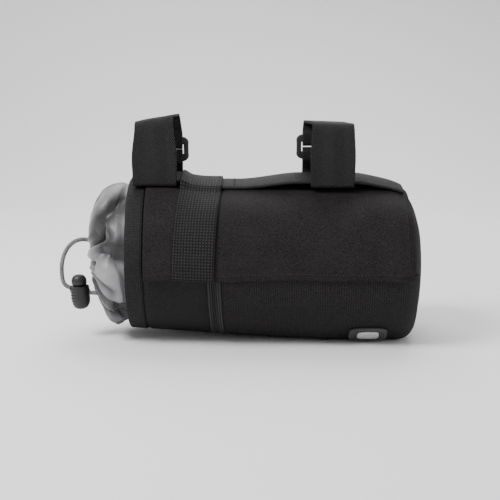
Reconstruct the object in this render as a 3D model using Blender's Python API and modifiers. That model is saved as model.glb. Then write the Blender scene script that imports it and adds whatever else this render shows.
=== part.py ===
"""Bicycle handlebar bag: a padded cloth barrel that lies on its flattened underside, with a gathered
drawstring collar at its mouth (-X), webbing loops for the handlebar on top, and a flap and a mesh
pocket on its front (-Y). Metres, +Z up, origin under the middle of the bag on the surface it lies on.

Every layer of cloth is worked out from one surface, skin(), which gives the point at a distance along
the barrel, at an angle round it from the top towards the front, and at a height above its cloth.
"""
import math

import bmesh
import bpy
import numpy as np
from mathutils import Matrix, Vector

# Barrel
TOTAL_LENGTH = 0.281       # collar's tip to closed end
BODY_LENGTH = 0.244        # mouth to closed end
BODY_RADIUS = 0.0688       # at the full part of the barrel
MOUTH_RADIUS = 0.0642      # the barrel narrows towards its mouth
FLATTENED = 0.0050         # how much of the round section the surface presses flat
MOUTH_CLEARANCE = 0.0058   # height of the mouth's underside above the surface
TAPER_START = 0.160        # distance from the mouth where the barrel starts to narrow
WALL = 0.003               # padded cloth
SHOULDER_TOP = 0.0355      # length of the rounded end along the top
SHOULDER_BOTTOM = 0.0225   # and along the underside, where it is tighter
END_FLATNESS = 3.0         # powers of the rounded end's curve: across and along the barrel
END_ROUNDNESS = 2.8

# Cloth layers
GAP = 0.00045              # between one layer and the next
BINDING_WIDTH = 0.0128
BINDING_THICKNESS = 0.0012
FLAP_THICKNESS = 0.0012
POCKET_THICKNESS = 0.0012
FLAP_BEHIND_BAND = 2.0     # degrees that the flap's hidden upper edge reaches past the band's rear edge
FLAP_BOTTOM = 94.5         # degrees round from the top to the flap's lower edge
FLAP_END = 0.2320          # distance from the mouth to the flap's free end
FLAP_CORNER_DROP = 2.2     # degrees that the flap's lower edge drops beside the binding
POCKET_TOP = 92.0
POCKET_BOTTOM = 152.0
POCKET_END = 0.2375
TAPE_WIDTH = 0.0112
TAPE_START = 0.0650        # distance from the mouth to the tape's left edge at its top
TAPE_LEAN = 0.0030         # how far the tape's foot lies towards the closed end

# Webbing
BAND_CENTRE = 5.5          # degrees that the band and its loops lie towards the front
BAND_HALF_ANGLE = 16.0
BAND_THICKNESS = 0.0018
BAND_START = 0.0020        # distances from the mouth
BAND_END = 0.2280
CLOSURE_WIDTH = 0.0335
CLOSURE_THICKNESS = 0.0018
CLOSURE_CENTRE = 0.0600    # distance from the mouth at the top
CLOSURE_LEAN = -0.0055     # shift of its foot towards the mouth
CLOSURE_BACK = -22.0       # degrees, its hidden upper end behind the band
STRAP_WIDTH = 0.0355
STRAP_THICKNESS = 0.0020
LOOP_SLACK = 0.0006        # between the band's edge and a leg of the loop
LOOP_CORNER = 0.0130       # round of the loop's top at its front leg
LOOP_REAR_CORNER = 0.0070  # and at its rear leg
LOOP_PINCH_START = 0.0140  # height above the band where the front leg starts to narrow
LOOP_FOOT_CORNER = 0.0018

# One row per bar strap: name, distance from the mouth to its front leg's middle, heights of its top and
# of its ring's middle above its run under the band, shift of the rear leg along the bag, rise of the
# loop's top from its left to its right edge, share of the width left there, and how far the band bows
# up over the strap and in what length it comes down beside it
BAR_STRAPS = (
    {"side": "left", "centre": 0.0213, "height": 0.0478, "ring": 0.0195,
     "shear": 0.0030, "rise": 0.0036, "pinch": 0.86, "bow": 0.0003, "ramp": 0.0100},
    {"side": "right", "centre": 0.1684, "height": 0.0455, "ring": 0.0232,
     "shear": -0.0055, "rise": -0.0016, "pinch": 0.95, "bow": 0.0028, "ramp": 0.0260},
)

# Plastic rings
RING_WIDTH = 0.0460
RING_HEIGHT = 0.0212
RING_BAR = 0.0072          # bar that the webbing turns round
RING_END_BAR = 0.0042
RING_THICKNESS = 0.0034
RING_CORNER = 0.0042
RING_WINDOW_CORNER = 0.0012
RING_BEVEL = 0.0006
RING_INSET = 0.0023        # ring's middle plane inside the line of the rear leg
RING_PLAY = 0.0007         # slack of the webbing round the bar
RING_EASE = 0.0020         # height in which the webbing comes back to the leg's line
RING_TAIL = 0.0028         # straight end of the doubled webbing

# Collar
COLLAR_REACH = 0.0357      # mouth to the collar's tip
COLLAR_THICKNESS = 0.0012
COLLAR_SAG = 0.0050        # how far the small opening sinks below the mouth's middle
HEM_RADIUS = 0.0022
GATHERS = 14
GATHER_DEPTH = 0.0011

# The collar's outline over the top and under the bottom, from its seam to its hem:
# reach is a share of COLLAR_REACH and radius a share of COLLAR_RADIUS
COLLAR_PROFILE = (
    {"at": "seam", "top_reach": -0.30, "top_radius": 1.000, "low_reach": -0.30, "low_radius": 1.000},
    {"at": "mouth", "top_reach": 0.07, "top_radius": 1.000, "low_reach": 0.07, "low_radius": 1.000},
    {"at": "puff", "top_reach": 0.26, "top_radius": 1.050, "low_reach": 0.22, "low_radius": 1.030},
    {"at": "shoulder", "top_reach": 0.53, "top_radius": 1.010, "low_reach": 0.41, "low_radius": 0.990},
    {"at": "turn", "top_reach": 0.80, "top_radius": 0.890, "low_reach": 0.58, "low_radius": 0.840},
    {"at": "brow", "top_reach": 0.95, "top_radius": 0.710, "low_reach": 0.74, "low_radius": 0.630},
    {"at": "face", "top_reach": 1.00, "top_radius": 0.520, "low_reach": 0.87, "low_radius": 0.460},
    {"at": "hem", "top_reach": 0.94, "top_radius": 0.350, "low_reach": 0.88, "low_radius": 0.350},
)

# The collar's main folds: angle round from the top towards the front, how far the fold swings round
# between mouth and hem, its width, and its depth as a share of COLLAR_RADIUS
COLLAR_FOLDS = (
    {"angle": 4.0, "swing": 4.0, "width": 9.0, "depth": 0.030},
    {"angle": 33.0, "swing": 0.0, "width": 13.0, "depth": 0.095},
    {"angle": 77.0, "swing": 10.0, "width": 12.0, "depth": 0.110},
    {"angle": 109.0, "swing": 9.0, "width": 9.0, "depth": 0.070},
    {"angle": 127.0, "swing": 8.0, "width": 8.0, "depth": 0.050},
    {"angle": 143.0, "swing": 6.0, "width": 8.0, "depth": 0.055},
    {"angle": 160.0, "swing": 3.0, "width": 9.0, "depth": 0.050},
    {"angle": 184.0, "swing": 0.0, "width": 12.0, "depth": 0.070},
    {"angle": 212.0, "swing": -6.0, "width": 12.0, "depth": 0.085},
    {"angle": 246.0, "swing": -4.0, "width": 13.0, "depth": 0.090},
    {"angle": 281.0, "swing": 5.0, "width": 12.0, "depth": 0.085},
    {"angle": 318.0, "swing": 2.0, "width": 13.0, "depth": 0.095},
)

# Drawcord and cord lock
CORD_DIAMETER = 0.0036
CORD_CLEARANCE = 0.0004
LOCK_RADIUS = 0.0082
LOCK_LENGTH = 0.0210
LOCK_TOP = 0.0055          # barrel's top above the cord
BUTTON_RADIUS = 0.0071
BUTTON_HEIGHT = 0.0102
BUTTON_TRAVEL = 0.0025
STEM_RADIUS = 0.0040
STEM_CLEARANCE = 0.0003
STEM_FOOT = 0.0040         # stem below its slot
LOCK_TILT = -4.0           # degrees, the button leans away from the bag
CORD_HOLE_TILT = 18.0      # degrees that the cord's hole falls towards the bag, across the lock

# The cord's free stretch: out of the hem, round in an arc, through the lock and into the collar
CORD_ROUTE = (
    (-0.13940, -0.00680, 0.08240),
    (-0.14260, -0.00690, 0.08270),
    (-0.14720, -0.00820, 0.08300),
    (-0.15190, -0.00980, 0.08180),
    (-0.15610, -0.01150, 0.07880),
    (-0.15940, -0.01310, 0.07440),
    (-0.16170, -0.01440, 0.06880),
    (-0.16290, -0.01590, 0.06280),
    (-0.16300, -0.01660, 0.05680),
    (-0.16260, -0.01710, 0.05150),
    (-0.16160, -0.01750, 0.04770),
    (-0.15960, -0.01780, 0.04500),
    (-0.15620, -0.01800, 0.04330),
    (-0.15200, -0.01815, 0.04225),
    (-0.14780, -0.01830, 0.04120),
    (-0.14360, -0.01845, 0.04015),
    (-0.13940, -0.01860, 0.03910),
    (-0.13320, -0.01835, 0.03865),
)
CORD_LOCK_POINT = 14       # the point of the route that the lock sits on

# Rubber patch
PATCH_CENTRE = 0.1978      # distance from the mouth
PATCH_WIDTH = 0.0320
PATCH_TOP = 132.0
PATCH_BOTTOM = 148.5
PATCH_THICKNESS = 0.0020
INSET_SHARE = 0.56         # of the patch's width and height
INSET_THICKNESS = 0.0005

# Worked out from the sizes above
TIP_X = TOTAL_LENGTH / 2
MOUTH_X = TIP_X - BODY_LENGTH
UNDER_FLAP = GAP + POCKET_THICKNESS + GAP
FRONT_REACH = BODY_RADIUS + UNDER_FLAP + FLAP_THICKNESS
AXIS_Y = (FRONT_REACH - BODY_RADIUS) / 2
AXIS_Z = BODY_RADIUS - FLATTENED
MOUTH_Z = MOUTH_RADIUS + MOUTH_CLEARANCE
RIM_INSET = BINDING_THICKNESS + GAP
STRAP_LIFT = STRAP_THICKNESS + GAP
FLAP_TOP = BAND_CENTRE - BAND_HALF_ANGLE - FLAP_BEHIND_BAND
UNDER_BAND = GAP + FLAP_THICKNESS + GAP
BAND_TOP = BODY_RADIUS + UNDER_BAND + STRAP_LIFT + max(strap["bow"] for strap in BAR_STRAPS) + BAND_THICKNESS
BAND_EDGE = BAND_TOP * math.sin(math.radians(BAND_HALF_ANGLE))
COLLAR_RADIUS = MOUTH_RADIUS - RIM_INSET - WALL - 2 * GAP - COLLAR_THICKNESS / 2
LOOP_HALF_DEPTH = BAND_EDGE + LOOP_SLACK + STRAP_THICKNESS / 2

# Mesh fineness
ROUND_STEPS = 40
COLLAR_STEPS = 56
HEM_STEPS = 36
LOCK_STEPS = 16
MERGE = 0.00001


def smooth(value, start, end):
    """Smooth step: 0 up to start, 1 from end on, with a soft rise between."""
    share = np.clip((np.asarray(value, dtype=float) - start) / (end - start), 0.0, 1.0)
    return share * share * (3.0 - 2.0 * share)


def section(x):
    """Radius and centre height of the barrel's round section at x: straight lines from the full
    part of the barrel to its narrower, higher mouth."""
    narrow = np.clip((MOUTH_X + TAPER_START - x) / TAPER_START, 0.0, 1.2)
    return BODY_RADIUS + (MOUTH_RADIUS - BODY_RADIUS) * narrow, AXIS_Z + (MOUTH_Z - AXIS_Z) * narrow


def shoulder_length(angle):
    """Length of the rounded end at an angle: it blends from top to underside by the cosine."""
    low = (1.0 - np.cos(angle)) / 2
    return SHOULDER_TOP + (SHOULDER_BOTTOM - SHOULDER_TOP) * low


def touches_at(from_lowest):
    """Distance from the mouth at which the barrel comes down to the surface, at an angle in degrees from
    its lowest line: there its centre is as high as its radius times the angle's cosine."""
    share = math.cos(math.radians(from_lowest))
    narrow = (share * BODY_RADIUS - AXIS_Z) / (MOUTH_Z - AXIS_Z - share * (MOUTH_RADIUS - BODY_RADIUS))
    return TAPER_START * (1.0 - narrow)


def skin(x, degrees, height, radius=None):
    """Points of the barrel at x, at an angle round it and a height above its cloth, as an array
    (..., 3). The radius is the section's, closed in over the rounded end by the curve
    across^END_FLATNESS + along^END_ROUNDNESS = 1, and what would sink into the surface lies flat on it."""
    x, degrees, height = np.broadcast_arrays(*(np.asarray(v, dtype=float) for v in (x, degrees, height)))
    angle = np.radians(degrees)
    full, centre = section(x)
    if radius is None:
        length = shoulder_length(angle)
        along = np.clip((x - (TIP_X - length)) / (length + height), 0.0, 1.0)
        radius = (full + height) * (1.0 - along ** END_ROUNDNESS) ** (1.0 / END_FLATNESS)
    y = AXIS_Y - radius * np.sin(angle)
    z = np.maximum(centre + radius * np.cos(angle), -height)
    return np.stack([x, y, z], axis=-1)


def add_mesh_object(name, vertices, faces, material, folder):
    """New object in the bag's collection from points and faces, shaded smooth."""
    mesh = bpy.data.meshes.new(name)
    mesh.from_pydata([tuple(map(float, v)) for v in vertices], [], faces)
    mesh.shade_smooth()
    mesh.set_sharp_from_angle(angle=math.radians(40))
    mesh.materials.append(material)
    thing = bpy.data.objects.new(name, mesh)
    folder.objects.link(thing)
    return thing


def grid_faces(rows, columns, closed):
    """Quads of a grid of points stored row by row, joined round where it is closed."""
    last = columns if closed else columns - 1
    return [(i * columns + j, i * columns + (j + 1) % columns,
             (i + 1) * columns + (j + 1) % columns, (i + 1) * columns + j)
            for i in range(rows - 1) for j in range(last)]


def solidify(thing, thickness, offset=0.0):
    """Gives an open surface its wall, by default half to each side."""
    wall = thing.modifiers.new("wall", "SOLIDIFY")
    wall.thickness = thickness
    wall.offset = offset
    wall.use_even_offset = True
    return thing


def add_sheet(name, points, thickness, material, folder, closed=False, offset=0.0):
    """A sheet of cloth or webbing: an array (rows, columns, 3) of points with a wall."""
    rows, columns = points.shape[:2]
    thing = add_mesh_object(name, points.reshape(-1, 3), grid_faces(rows, columns, closed), material, folder)
    return solidify(thing, thickness, offset)


def make_material(name, colour, roughness, metallic=0.0):
    """Principled material with one colour, as linear red, green and blue."""
    material = bpy.data.materials.new(name)
    material.use_nodes = True
    shader = material.node_tree.nodes["Principled BSDF"]
    shader.inputs["Base Color"].default_value = (*colour, 1.0)
    shader.inputs["Roughness"].default_value = roughness
    shader.inputs["Metallic"].default_value = metallic
    material.diffuse_color = (*colour, 1.0)
    return material


def make_body_shell(material, folder):
    """Barrel with its closed end: rows along the straight part, then rows that turn over the end."""
    degrees = np.arange(ROUND_STEPS) * 360.0 / ROUND_STEPS
    angle = np.radians(degrees)
    length = shoulder_length(angle)
    rows = [skin(MOUTH_X + distance, degrees, height) for distance, height in
            ((0.0, -RIM_INSET), (BINDING_WIDTH + GAP, -RIM_INSET), (BINDING_WIDTH + 3 * GAP, 0.0))]
    touching = [MOUTH_X + touches_at(columns * 360.0 / ROUND_STEPS) for columns in range(3)]
    rows += [skin(x, degrees, 0.0) for x in (*touching, MOUTH_X + TAPER_START, TIP_X - length)]
    for turn in np.radians((14.0, 26.0, 37.0, 48.0, 58.0, 67.0, 76.0, 84.0)):
        x = TIP_X - length + length * math.sin(turn) ** (2.0 / END_ROUNDNESS)
        rows.append(skin(x, degrees, 0.0, BODY_RADIUS * math.cos(turn) ** (2.0 / END_FLATNESS)))
    points = np.array(rows)
    faces = grid_faces(len(rows), ROUND_STEPS, True)
    tip = len(rows) * ROUND_STEPS
    ring = tip - ROUND_STEPS
    faces += [(ring + j, ring + (j + 1) % ROUND_STEPS, tip) for j in range(ROUND_STEPS)]
    vertices = np.vstack([points.reshape(-1, 3), [[TIP_X, AXIS_Y, AXIS_Z]]])
    return solidify(add_mesh_object("body_shell", vertices, faces, material, folder), WALL, -1.0)


def make_rim_binding(material, folder):
    """Binding over the mouth's edge: an angle of webbing, one leg outside the wall, one across its edge."""
    half = BINDING_THICKNESS / 2
    edge = MOUTH_X - GAP - half
    profile = ((MOUTH_X + BINDING_WIDTH, -half), (edge + half, -half), (edge, -2 * half),
               (edge, -RIM_INSET - WALL))
    degrees = np.arange(ROUND_STEPS) * 360.0 / ROUND_STEPS
    rows = np.array([skin(x, degrees, height) for x, height in reversed(profile)])
    return add_sheet("rim_binding", rows, BINDING_THICKNESS, material, folder, closed=True)


def flap_base(degrees):
    """Height of the flap's underside: on the barrel above, over the pocket at its lower edge."""
    return GAP + (POCKET_THICKNESS + GAP) * smooth(degrees, POCKET_TOP - 14.0, POCKET_TOP - 3.0)


def make_front_flap(material, folder):
    """Flap: a grid between its upper edge by the band and its lower edge, which drops by the binding."""
    x = MOUTH_X + BINDING_WIDTH + GAP + np.concatenate(
        [np.linspace(0.0, FLAP_END - 0.030, 7), np.linspace(FLAP_END - 0.022, FLAP_END, 4)]
    ) * (FLAP_END - BINDING_WIDTH - GAP) / FLAP_END
    share = np.linspace(0.0, 1.0, 14)
    drop = FLAP_CORNER_DROP * (1.0 - smooth(x - MOUTH_X, BINDING_WIDTH, BINDING_WIDTH + 0.030))
    degrees = FLAP_TOP + (FLAP_BOTTOM + drop[:, None] - FLAP_TOP) * share[None, :]
    points = skin(x[:, None], degrees, flap_base(degrees) + FLAP_THICKNESS / 2)
    return add_sheet("front_flap", points, FLAP_THICKNESS, material, folder)


def tape_left_edge(degrees):
    """The tape's left edge, which leans towards the closed end as it goes down."""
    return MOUTH_X + TAPE_START + TAPE_LEAN * (degrees - POCKET_TOP) / (POCKET_BOTTOM - POCKET_TOP)


def make_mesh_pocket(material, folder):
    """Pocket panel from the tape's right edge to the rounded end."""
    degrees = np.linspace(POCKET_TOP, POCKET_BOTTOM, 10)
    start = tape_left_edge(degrees) + TAPE_WIDTH + GAP
    end = np.linspace(POCKET_END - 0.031, POCKET_END, 7)
    stations = MOUTH_X + np.concatenate([[touches_at(0.0), TAPER_START, (TAPER_START + end[0]) / 2], end])
    x = np.vstack([start, np.repeat(stations[:, None], len(degrees), axis=1)])
    points = skin(x, degrees[None, :], GAP + POCKET_THICKNESS / 2)
    return add_sheet("mesh_pocket", points, POCKET_THICKNESS, material, folder)


def make_pocket_edge_tape(material, folder):
    """Elastic tape on the pocket's left edge, as thick as the pocket."""
    degrees = np.linspace(POCKET_TOP, POCKET_BOTTOM, 10)
    share = np.linspace(0.0, 1.0, 3)
    x = tape_left_edge(degrees)[None, :] + TAPE_WIDTH * share[:, None]
    points = skin(x, degrees[None, :], GAP + POCKET_THICKNESS / 2)
    return add_sheet("pocket_edge_tape", points, POCKET_THICKNESS, material, folder)


def band_base(x):
    """Height of the band's underside: it rises over each bar strap and comes down beside it."""
    lift = np.zeros_like(x)
    for strap in BAR_STRAPS:
        middle = MOUTH_X + strap["centre"] + strap["shear"] / 2
        reach = (STRAP_WIDTH + abs(strap["shear"])) / 2 + GAP
        over = 1.0 - smooth(np.abs(x - middle), reach, reach + strap["ramp"])
        lift = np.maximum(lift, (STRAP_LIFT + strap["bow"]) * over)
    return UNDER_BAND + lift


def make_top_band(material, folder):
    """Band along the top, with rows close together where it rises over the straps."""
    stations = {BAND_START, BAND_END}
    for strap in BAR_STRAPS:
        for side in (-1, 1):
            edge = (STRAP_WIDTH + abs(strap["shear"])) / 2 + GAP
            for step in (0.0, 0.25, 0.5, 0.75, 1.0):
                stations.add(strap["centre"] + strap["shear"] / 2 + side * (edge + strap["ramp"] * step))
    stations.update(np.linspace(BAND_END - SHOULDER_TOP * 0.7, BAND_END, 5))
    x = MOUTH_X + np.array(sorted(s for s in stations if BAND_START <= s <= BAND_END))
    degrees = BAND_CENTRE + np.linspace(-BAND_HALF_ANGLE, BAND_HALF_ANGLE, 5)
    points = skin(x[:, None], degrees[None, :], band_base(x)[:, None] + BAND_THICKNESS / 2)
    return add_sheet("top_band", points, BAND_THICKNESS, material, folder)


def make_closure_strap(material, folder):
    """Upright strap: over the band at the top, then down over the flap to its lower edge."""
    half_band = BAND_HALF_ANGLE + 0.5
    degrees = np.concatenate([np.linspace(CLOSURE_BACK, BAND_CENTRE - half_band - 4.0, 2),
                              BAND_CENTRE + np.linspace(-half_band, half_band, 6),
                              np.linspace(BAND_CENTRE + half_band + 3.0, FLAP_BOTTOM - 0.4, 11)])
    share = np.linspace(-0.5, 0.5, 7)
    lean = CLOSURE_LEAN * smooth(degrees, 0.0, FLAP_BOTTOM)
    x = MOUTH_X + CLOSURE_CENTRE + lean[None, :] + CLOSURE_WIDTH * share[:, None]
    angles = np.broadcast_to(degrees[None, :], x.shape)
    over_band = band_base(x) + BAND_THICKNESS + GAP
    over_flap = flap_base(angles) + FLAP_THICKNESS + GAP
    on_band = 1.0 - smooth(np.abs(angles - BAND_CENTRE), half_band, half_band + 6.0)
    base = over_flap + (over_band - over_flap) * on_band
    points = skin(x, angles, base + CLOSURE_THICKNESS / 2)
    return add_sheet("closure_strap", points, CLOSURE_THICKNESS, material, folder)


def rounded_path(corners, step_angle=30.0):
    """Points (n, 2) along straight runs whose corners are arcs: corners are ((y, z), radius), and a
    corner of no radius is a plain point."""
    points = [Vector(corners[0][0])]
    for before, (corner, radius), after in zip(corners, corners[1:-1], corners[2:]):
        corner = Vector(corner)
        if radius == 0.0:
            points.append(corner)
            continue
        arriving = (corner - Vector(before[0])).normalized()
        leaving = (Vector(after[0]) - corner).normalized()
        turn = arriving.angle_signed(leaving, 0.0)
        setback = radius * math.tan(abs(turn) / 2)
        side = Vector((arriving.y, -arriving.x)) * math.copysign(1.0, turn)
        start = corner - arriving * setback
        steps = max(2, round(abs(math.degrees(turn)) / step_angle))
        for k in range(steps + 1):
            a = abs(turn) * k / steps
            points.append(start + arriving * (radius * math.sin(a)) + side * (radius * (1.0 - math.cos(a))))
    points.append(Vector(corners[-1][0]))
    return np.array([tuple(p) for p in points])


def strap_foot(strap):
    """Radius of the strap's run under the band, and the height of the barrel's axis there."""
    radius, centre = section(MOUTH_X + strap["centre"])
    return float(radius) + UNDER_BAND + STRAP_THICKNESS / 2, float(centre)


def lean_forward(y, z, centre):
    """Turns a point seen from the bag's end about the barrel's axis, as far as the band lies forward."""
    lean = math.radians(BAND_CENTRE)
    up = z - centre
    return AXIS_Y + y * math.cos(lean) - up * math.sin(lean), centre + y * math.sin(lean) + up * math.cos(lean)


def ring_height(strap):
    """Height of the middle of a strap's ring, before it leans forward."""
    radius, centre = strap_foot(strap)
    return centre + radius + strap["ring"]


def strap_path(strap):
    """The strap seen from the end of the bag, as (y, z) points: it turns over the ring's lower bar,
    goes down the rear leg, under the band to the front, up, over the top and round the upper bar."""
    radius, centre = strap_foot(strap)
    top = centre + radius + strap["height"]
    ring = ring_height(strap)
    bar = RING_HEIGHT / 2 - RING_BAR / 2
    wrap = RING_BAR / 2 + GAP + STRAP_THICKNESS / 2
    deep = RING_THICKNESS / 2 + GAP + STRAP_THICKNESS / 2 + RING_PLAY
    doubled = STRAP_THICKNESS + GAP
    rear = LOOP_HALF_DEPTH
    inside, outside = rear - RING_INSET - deep, rear - RING_INSET + deep
    leaves = bar + wrap + RING_EASE
    foot = math.asin(rear / radius)
    under = [(radius * math.sin(foot * k), centre + radius * math.cos(foot * k))
             for k in (0.70, 0.35, 0.0, -0.35, -0.70)]
    foot_z = centre + radius * math.cos(foot)
    turn = deep * 0.8
    corners = [((rear - doubled, ring - leaves - RING_TAIL), 0.0),
               ((rear - doubled, ring - leaves), turn),
               ((inside, ring - bar - wrap * 0.9), turn),
               ((inside, ring - bar + wrap), turn),
               ((outside, ring - bar + wrap), turn),
               ((outside, ring - bar - wrap), turn),
               ((rear, ring - leaves), turn),
               ((rear, foot_z), LOOP_FOOT_CORNER)]
    corners += [(point, 0.0) for point in under]
    corners += [((-rear, foot_z), LOOP_FOOT_CORNER),
                ((-rear, top), LOOP_CORNER),
                ((rear, top), LOOP_REAR_CORNER),
                ((rear, ring + leaves), turn),
                ((outside, ring + bar + wrap), turn),
                ((outside, ring + bar - wrap), turn),
                ((inside, ring + bar - wrap), turn),
                ((inside, ring + bar + wrap * 0.9), turn),
                ((rear - doubled, ring + leaves), turn),
                ((rear - doubled, ring + leaves + RING_TAIL), 0.0)]
    return rounded_path(corners)


def make_bar_strap(strap, material, folder):
    """Webbing loop: the path seen from the end, carried along X, with the loop's top pinched and
    rising to one side, and its rear leg shifted along the bag."""
    path = strap_path(strap)
    radius, centre = strap_foot(strap)
    foot_z = centre + radius
    pinched_from = np.where(path[:, 0] < 0.0, foot_z + LOOP_PINCH_START, ring_height(strap) + RING_HEIGHT / 2)
    high = smooth(path[:, 1], pinched_from, foot_z + strap["height"])
    width = STRAP_WIDTH * (1.0 + (strap["pinch"] - 1.0) * high)
    shift = strap["shear"] * smooth(path[:, 0], -LOOP_HALF_DEPTH, LOOP_HALF_DEPTH)
    share = np.linspace(-0.5, 0.5, 3)
    x = MOUTH_X + strap["centre"] + shift[:, None] + width[:, None] * share[None, :]
    tall = path[:, 1][:, None] + strap["rise"] * high[:, None] * share[None, :]
    y, z = lean_forward(path[:, 0][:, None], tall, centre)
    return add_sheet("bar_strap_" + strap["side"], np.stack([x, y, z], axis=-1), STRAP_THICKNESS,
                     material, folder)


def rounded_rectangle(curve, width, height, corner):
    """Adds a closed outline with round corners to a flat curve."""
    points = []
    for quarter, (sx, sy) in enumerate(((1, 1), (-1, 1), (-1, -1), (1, -1))):
        for k in range(4):
            a = math.radians(90 * quarter + 30 * k)
            points.append((sx * (width / 2 - corner) + corner * math.cos(a),
                           sy * (height / 2 - corner) + corner * math.sin(a)))
    spline = curve.splines.new("POLY")
    spline.points.add(len(points) - 1)
    spline.points.foreach_set("co", [c for x, y in points for c in (x, y, 0.0, 1.0)])
    spline.use_cyclic_u = True


def make_strap_ring(strap, material, folder):
    """Plastic ring: a flat outline with a window, stood upright in the rear leg of its loop."""
    curve = bpy.data.curves.new("strap_ring_" + strap["side"], "CURVE")
    curve.dimensions = "2D"
    curve.fill_mode = "BOTH"
    rounded_rectangle(curve, RING_WIDTH - 2 * RING_BEVEL, RING_HEIGHT - 2 * RING_BEVEL, RING_CORNER)
    rounded_rectangle(curve, RING_WIDTH - 2 * RING_END_BAR + 2 * RING_BEVEL,
                      RING_HEIGHT - 2 * RING_BAR + 2 * RING_BEVEL, RING_WINDOW_CORNER)
    curve.extrude = RING_THICKNESS / 2 - RING_BEVEL
    curve.bevel_depth = RING_BEVEL
    curve.bevel_resolution = 0
    curve.materials.append(material)
    ring = bpy.data.objects.new(curve.name, curve)
    middle = LOOP_HALF_DEPTH - RING_INSET
    centre = strap_foot(strap)[1]
    ring.location = (MOUTH_X + strap["centre"] + strap["shear"], *lean_forward(middle, ring_height(strap), centre))
    ring.rotation_euler = (math.radians(90 + BAND_CENTRE), 0.0, 0.0)
    folder.objects.link(ring)
    return ring


def collar_surface(along, degrees, lift=0.0):
    """Points of the collar: along runs 0 to 1 from seam to hem. The outline is a smooth curve through
    the rows of COLLAR_PROFILE, blended from top to underside by the cosine; each fold is a bell-shaped
    valley pressed in along the outline's normal, and the gathers are a ripple that grows to the hem."""
    along, degrees = np.broadcast_arrays(np.asarray(along, dtype=float), np.asarray(degrees, dtype=float))
    low = (1.0 - np.cos(np.radians(degrees))) / 2

    def outline(at):
        reach = through_rows(at, "top_reach") * (1 - low) + through_rows(at, "low_reach") * low
        radius = through_rows(at, "top_radius") * (1 - low) + through_rows(at, "low_radius") * low
        return reach * COLLAR_REACH, radius * COLLAR_RADIUS

    reach, radius = outline(along)
    step = 0.01
    reach_after, radius_after = outline(np.minimum(along + step, 1.0))
    reach_before, radius_before = outline(np.maximum(along - step, 0.0))
    run = np.hypot(reach_after - reach_before, radius_after - radius_before)
    normal_reach = (radius_before - radius_after) / run
    normal_radius = (reach_after - reach_before) / run
    strength = smooth(along, 0.16, 0.55) * (1.0 - 0.60 * smooth(along, 0.72, 1.0))
    press = np.zeros_like(reach)
    for fold in COLLAR_FOLDS:
        middle = fold["angle"] + fold["swing"] * along
        away = (degrees - middle + 180.0) % 360.0 - 180.0
        press += fold["depth"] * COLLAR_RADIUS * np.exp(-(away / fold["width"] * 1.665) ** 2)
    ripple = GATHER_DEPTH * np.cos(np.radians(degrees * GATHERS + 60.0)) * smooth(along, 0.55, 1.0)
    height = lift - press * strength + ripple
    reach = reach + normal_reach * height
    radius = radius + normal_radius * height
    angle = np.radians(degrees)
    centre = MOUTH_Z - COLLAR_SAG * smooth(along, 0.15, 1.0)
    return np.stack([MOUTH_X - reach, AXIS_Y - radius * np.sin(angle), centre + radius * np.cos(angle)], axis=-1)


def through_rows(at, column):
    """Smooth curve through one column of COLLAR_PROFILE, evenly spaced from 0 to 1: each span is the
    cubic whose slopes are those between the neighbouring rows."""
    values = np.array([row[column] for row in COLLAR_PROFILE])
    values = np.concatenate([[2 * values[0] - values[1]], values, [2 * values[-1] - values[-2]]])
    place = np.clip(at, 0.0, 1.0) * (len(COLLAR_PROFILE) - 1)
    span = np.minimum(place.astype(int), len(COLLAR_PROFILE) - 2)
    t = place - span
    a, b, c, d = (values[span + k] for k in range(4))
    return b + 0.5 * t * (c - a + t * (2 * a - 5 * b + 4 * c - d + t * (3 * (b - c) + d - a)))


def make_collar(material, folder):
    """Gathered collar, from its hem back to its seam inside the mouth."""
    along = np.array((1.0, 0.92, 0.84, 0.75, 0.66, 0.57, 0.48, 0.38, 0.28, 0.17, 0.0))
    degrees = np.arange(COLLAR_STEPS) * 360.0 / COLLAR_STEPS
    points = collar_surface(along[:, None], degrees[None, :])
    return add_sheet("collar", points, COLLAR_THICKNESS, material, folder, closed=True)


def add_tube(name, points, radius, material, folder, cyclic=False):
    """Tube along a list of points, with closed ends where it isn't a ring."""
    curve = bpy.data.curves.new(name, "CURVE")
    curve.dimensions = "3D"
    curve.bevel_depth = radius
    curve.bevel_resolution = 2
    curve.use_fill_caps = not cyclic
    spline = curve.splines.new("POLY")
    spline.points.add(len(points) - 1)
    spline.points.foreach_set("co", [float(c) for p in points for c in (*p, 1.0)])
    spline.use_cyclic_u = cyclic
    spline.use_smooth = True
    curve.materials.append(material)
    thing = bpy.data.objects.new(name, curve)
    folder.objects.link(thing)
    return thing


def make_collar_hem(material, folder):
    """Hem tunnel: a tube just past the collar's last row, along the line that the collar leaves by."""
    degrees = np.arange(HEM_STEPS) * 360.0 / HEM_STEPS
    edge = collar_surface(1.0, degrees)
    before = collar_surface(0.96, degrees)
    leaving = edge - before
    leaving /= np.linalg.norm(leaving, axis=1)[:, None]
    return add_tube("collar_hem", edge + leaving * (HEM_RADIUS + GAP), HEM_RADIUS, material, folder, cyclic=True)


def cord_points(route, spacing):
    """Evenly spaced points on a smooth curve through the route's points."""
    route = np.array(route)
    padded = np.vstack([2 * route[0] - route[1], route, 2 * route[-1] - route[-2]])
    t = np.linspace(0.0, 1.0, 12, endpoint=False)[:, None]
    fine = []
    for k in range(len(route) - 1):
        a, b, c, d = padded[k:k + 4]
        fine.append(b + 0.5 * t * (c - a + t * (2 * a - 5 * b + 4 * c - d + t * (3 * (b - c) + d - a))))
    fine = np.vstack(fine + [route[-1:]])
    lengths = np.concatenate([[0.0], np.cumsum(np.linalg.norm(np.diff(fine, axis=0), axis=1))])
    count = max(2, round(lengths[-1] / spacing))
    marks = np.linspace(0.0, lengths[-1], count + 1)
    return np.stack([np.interp(marks, lengths, fine[:, k]) for k in range(3)], axis=1)


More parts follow.
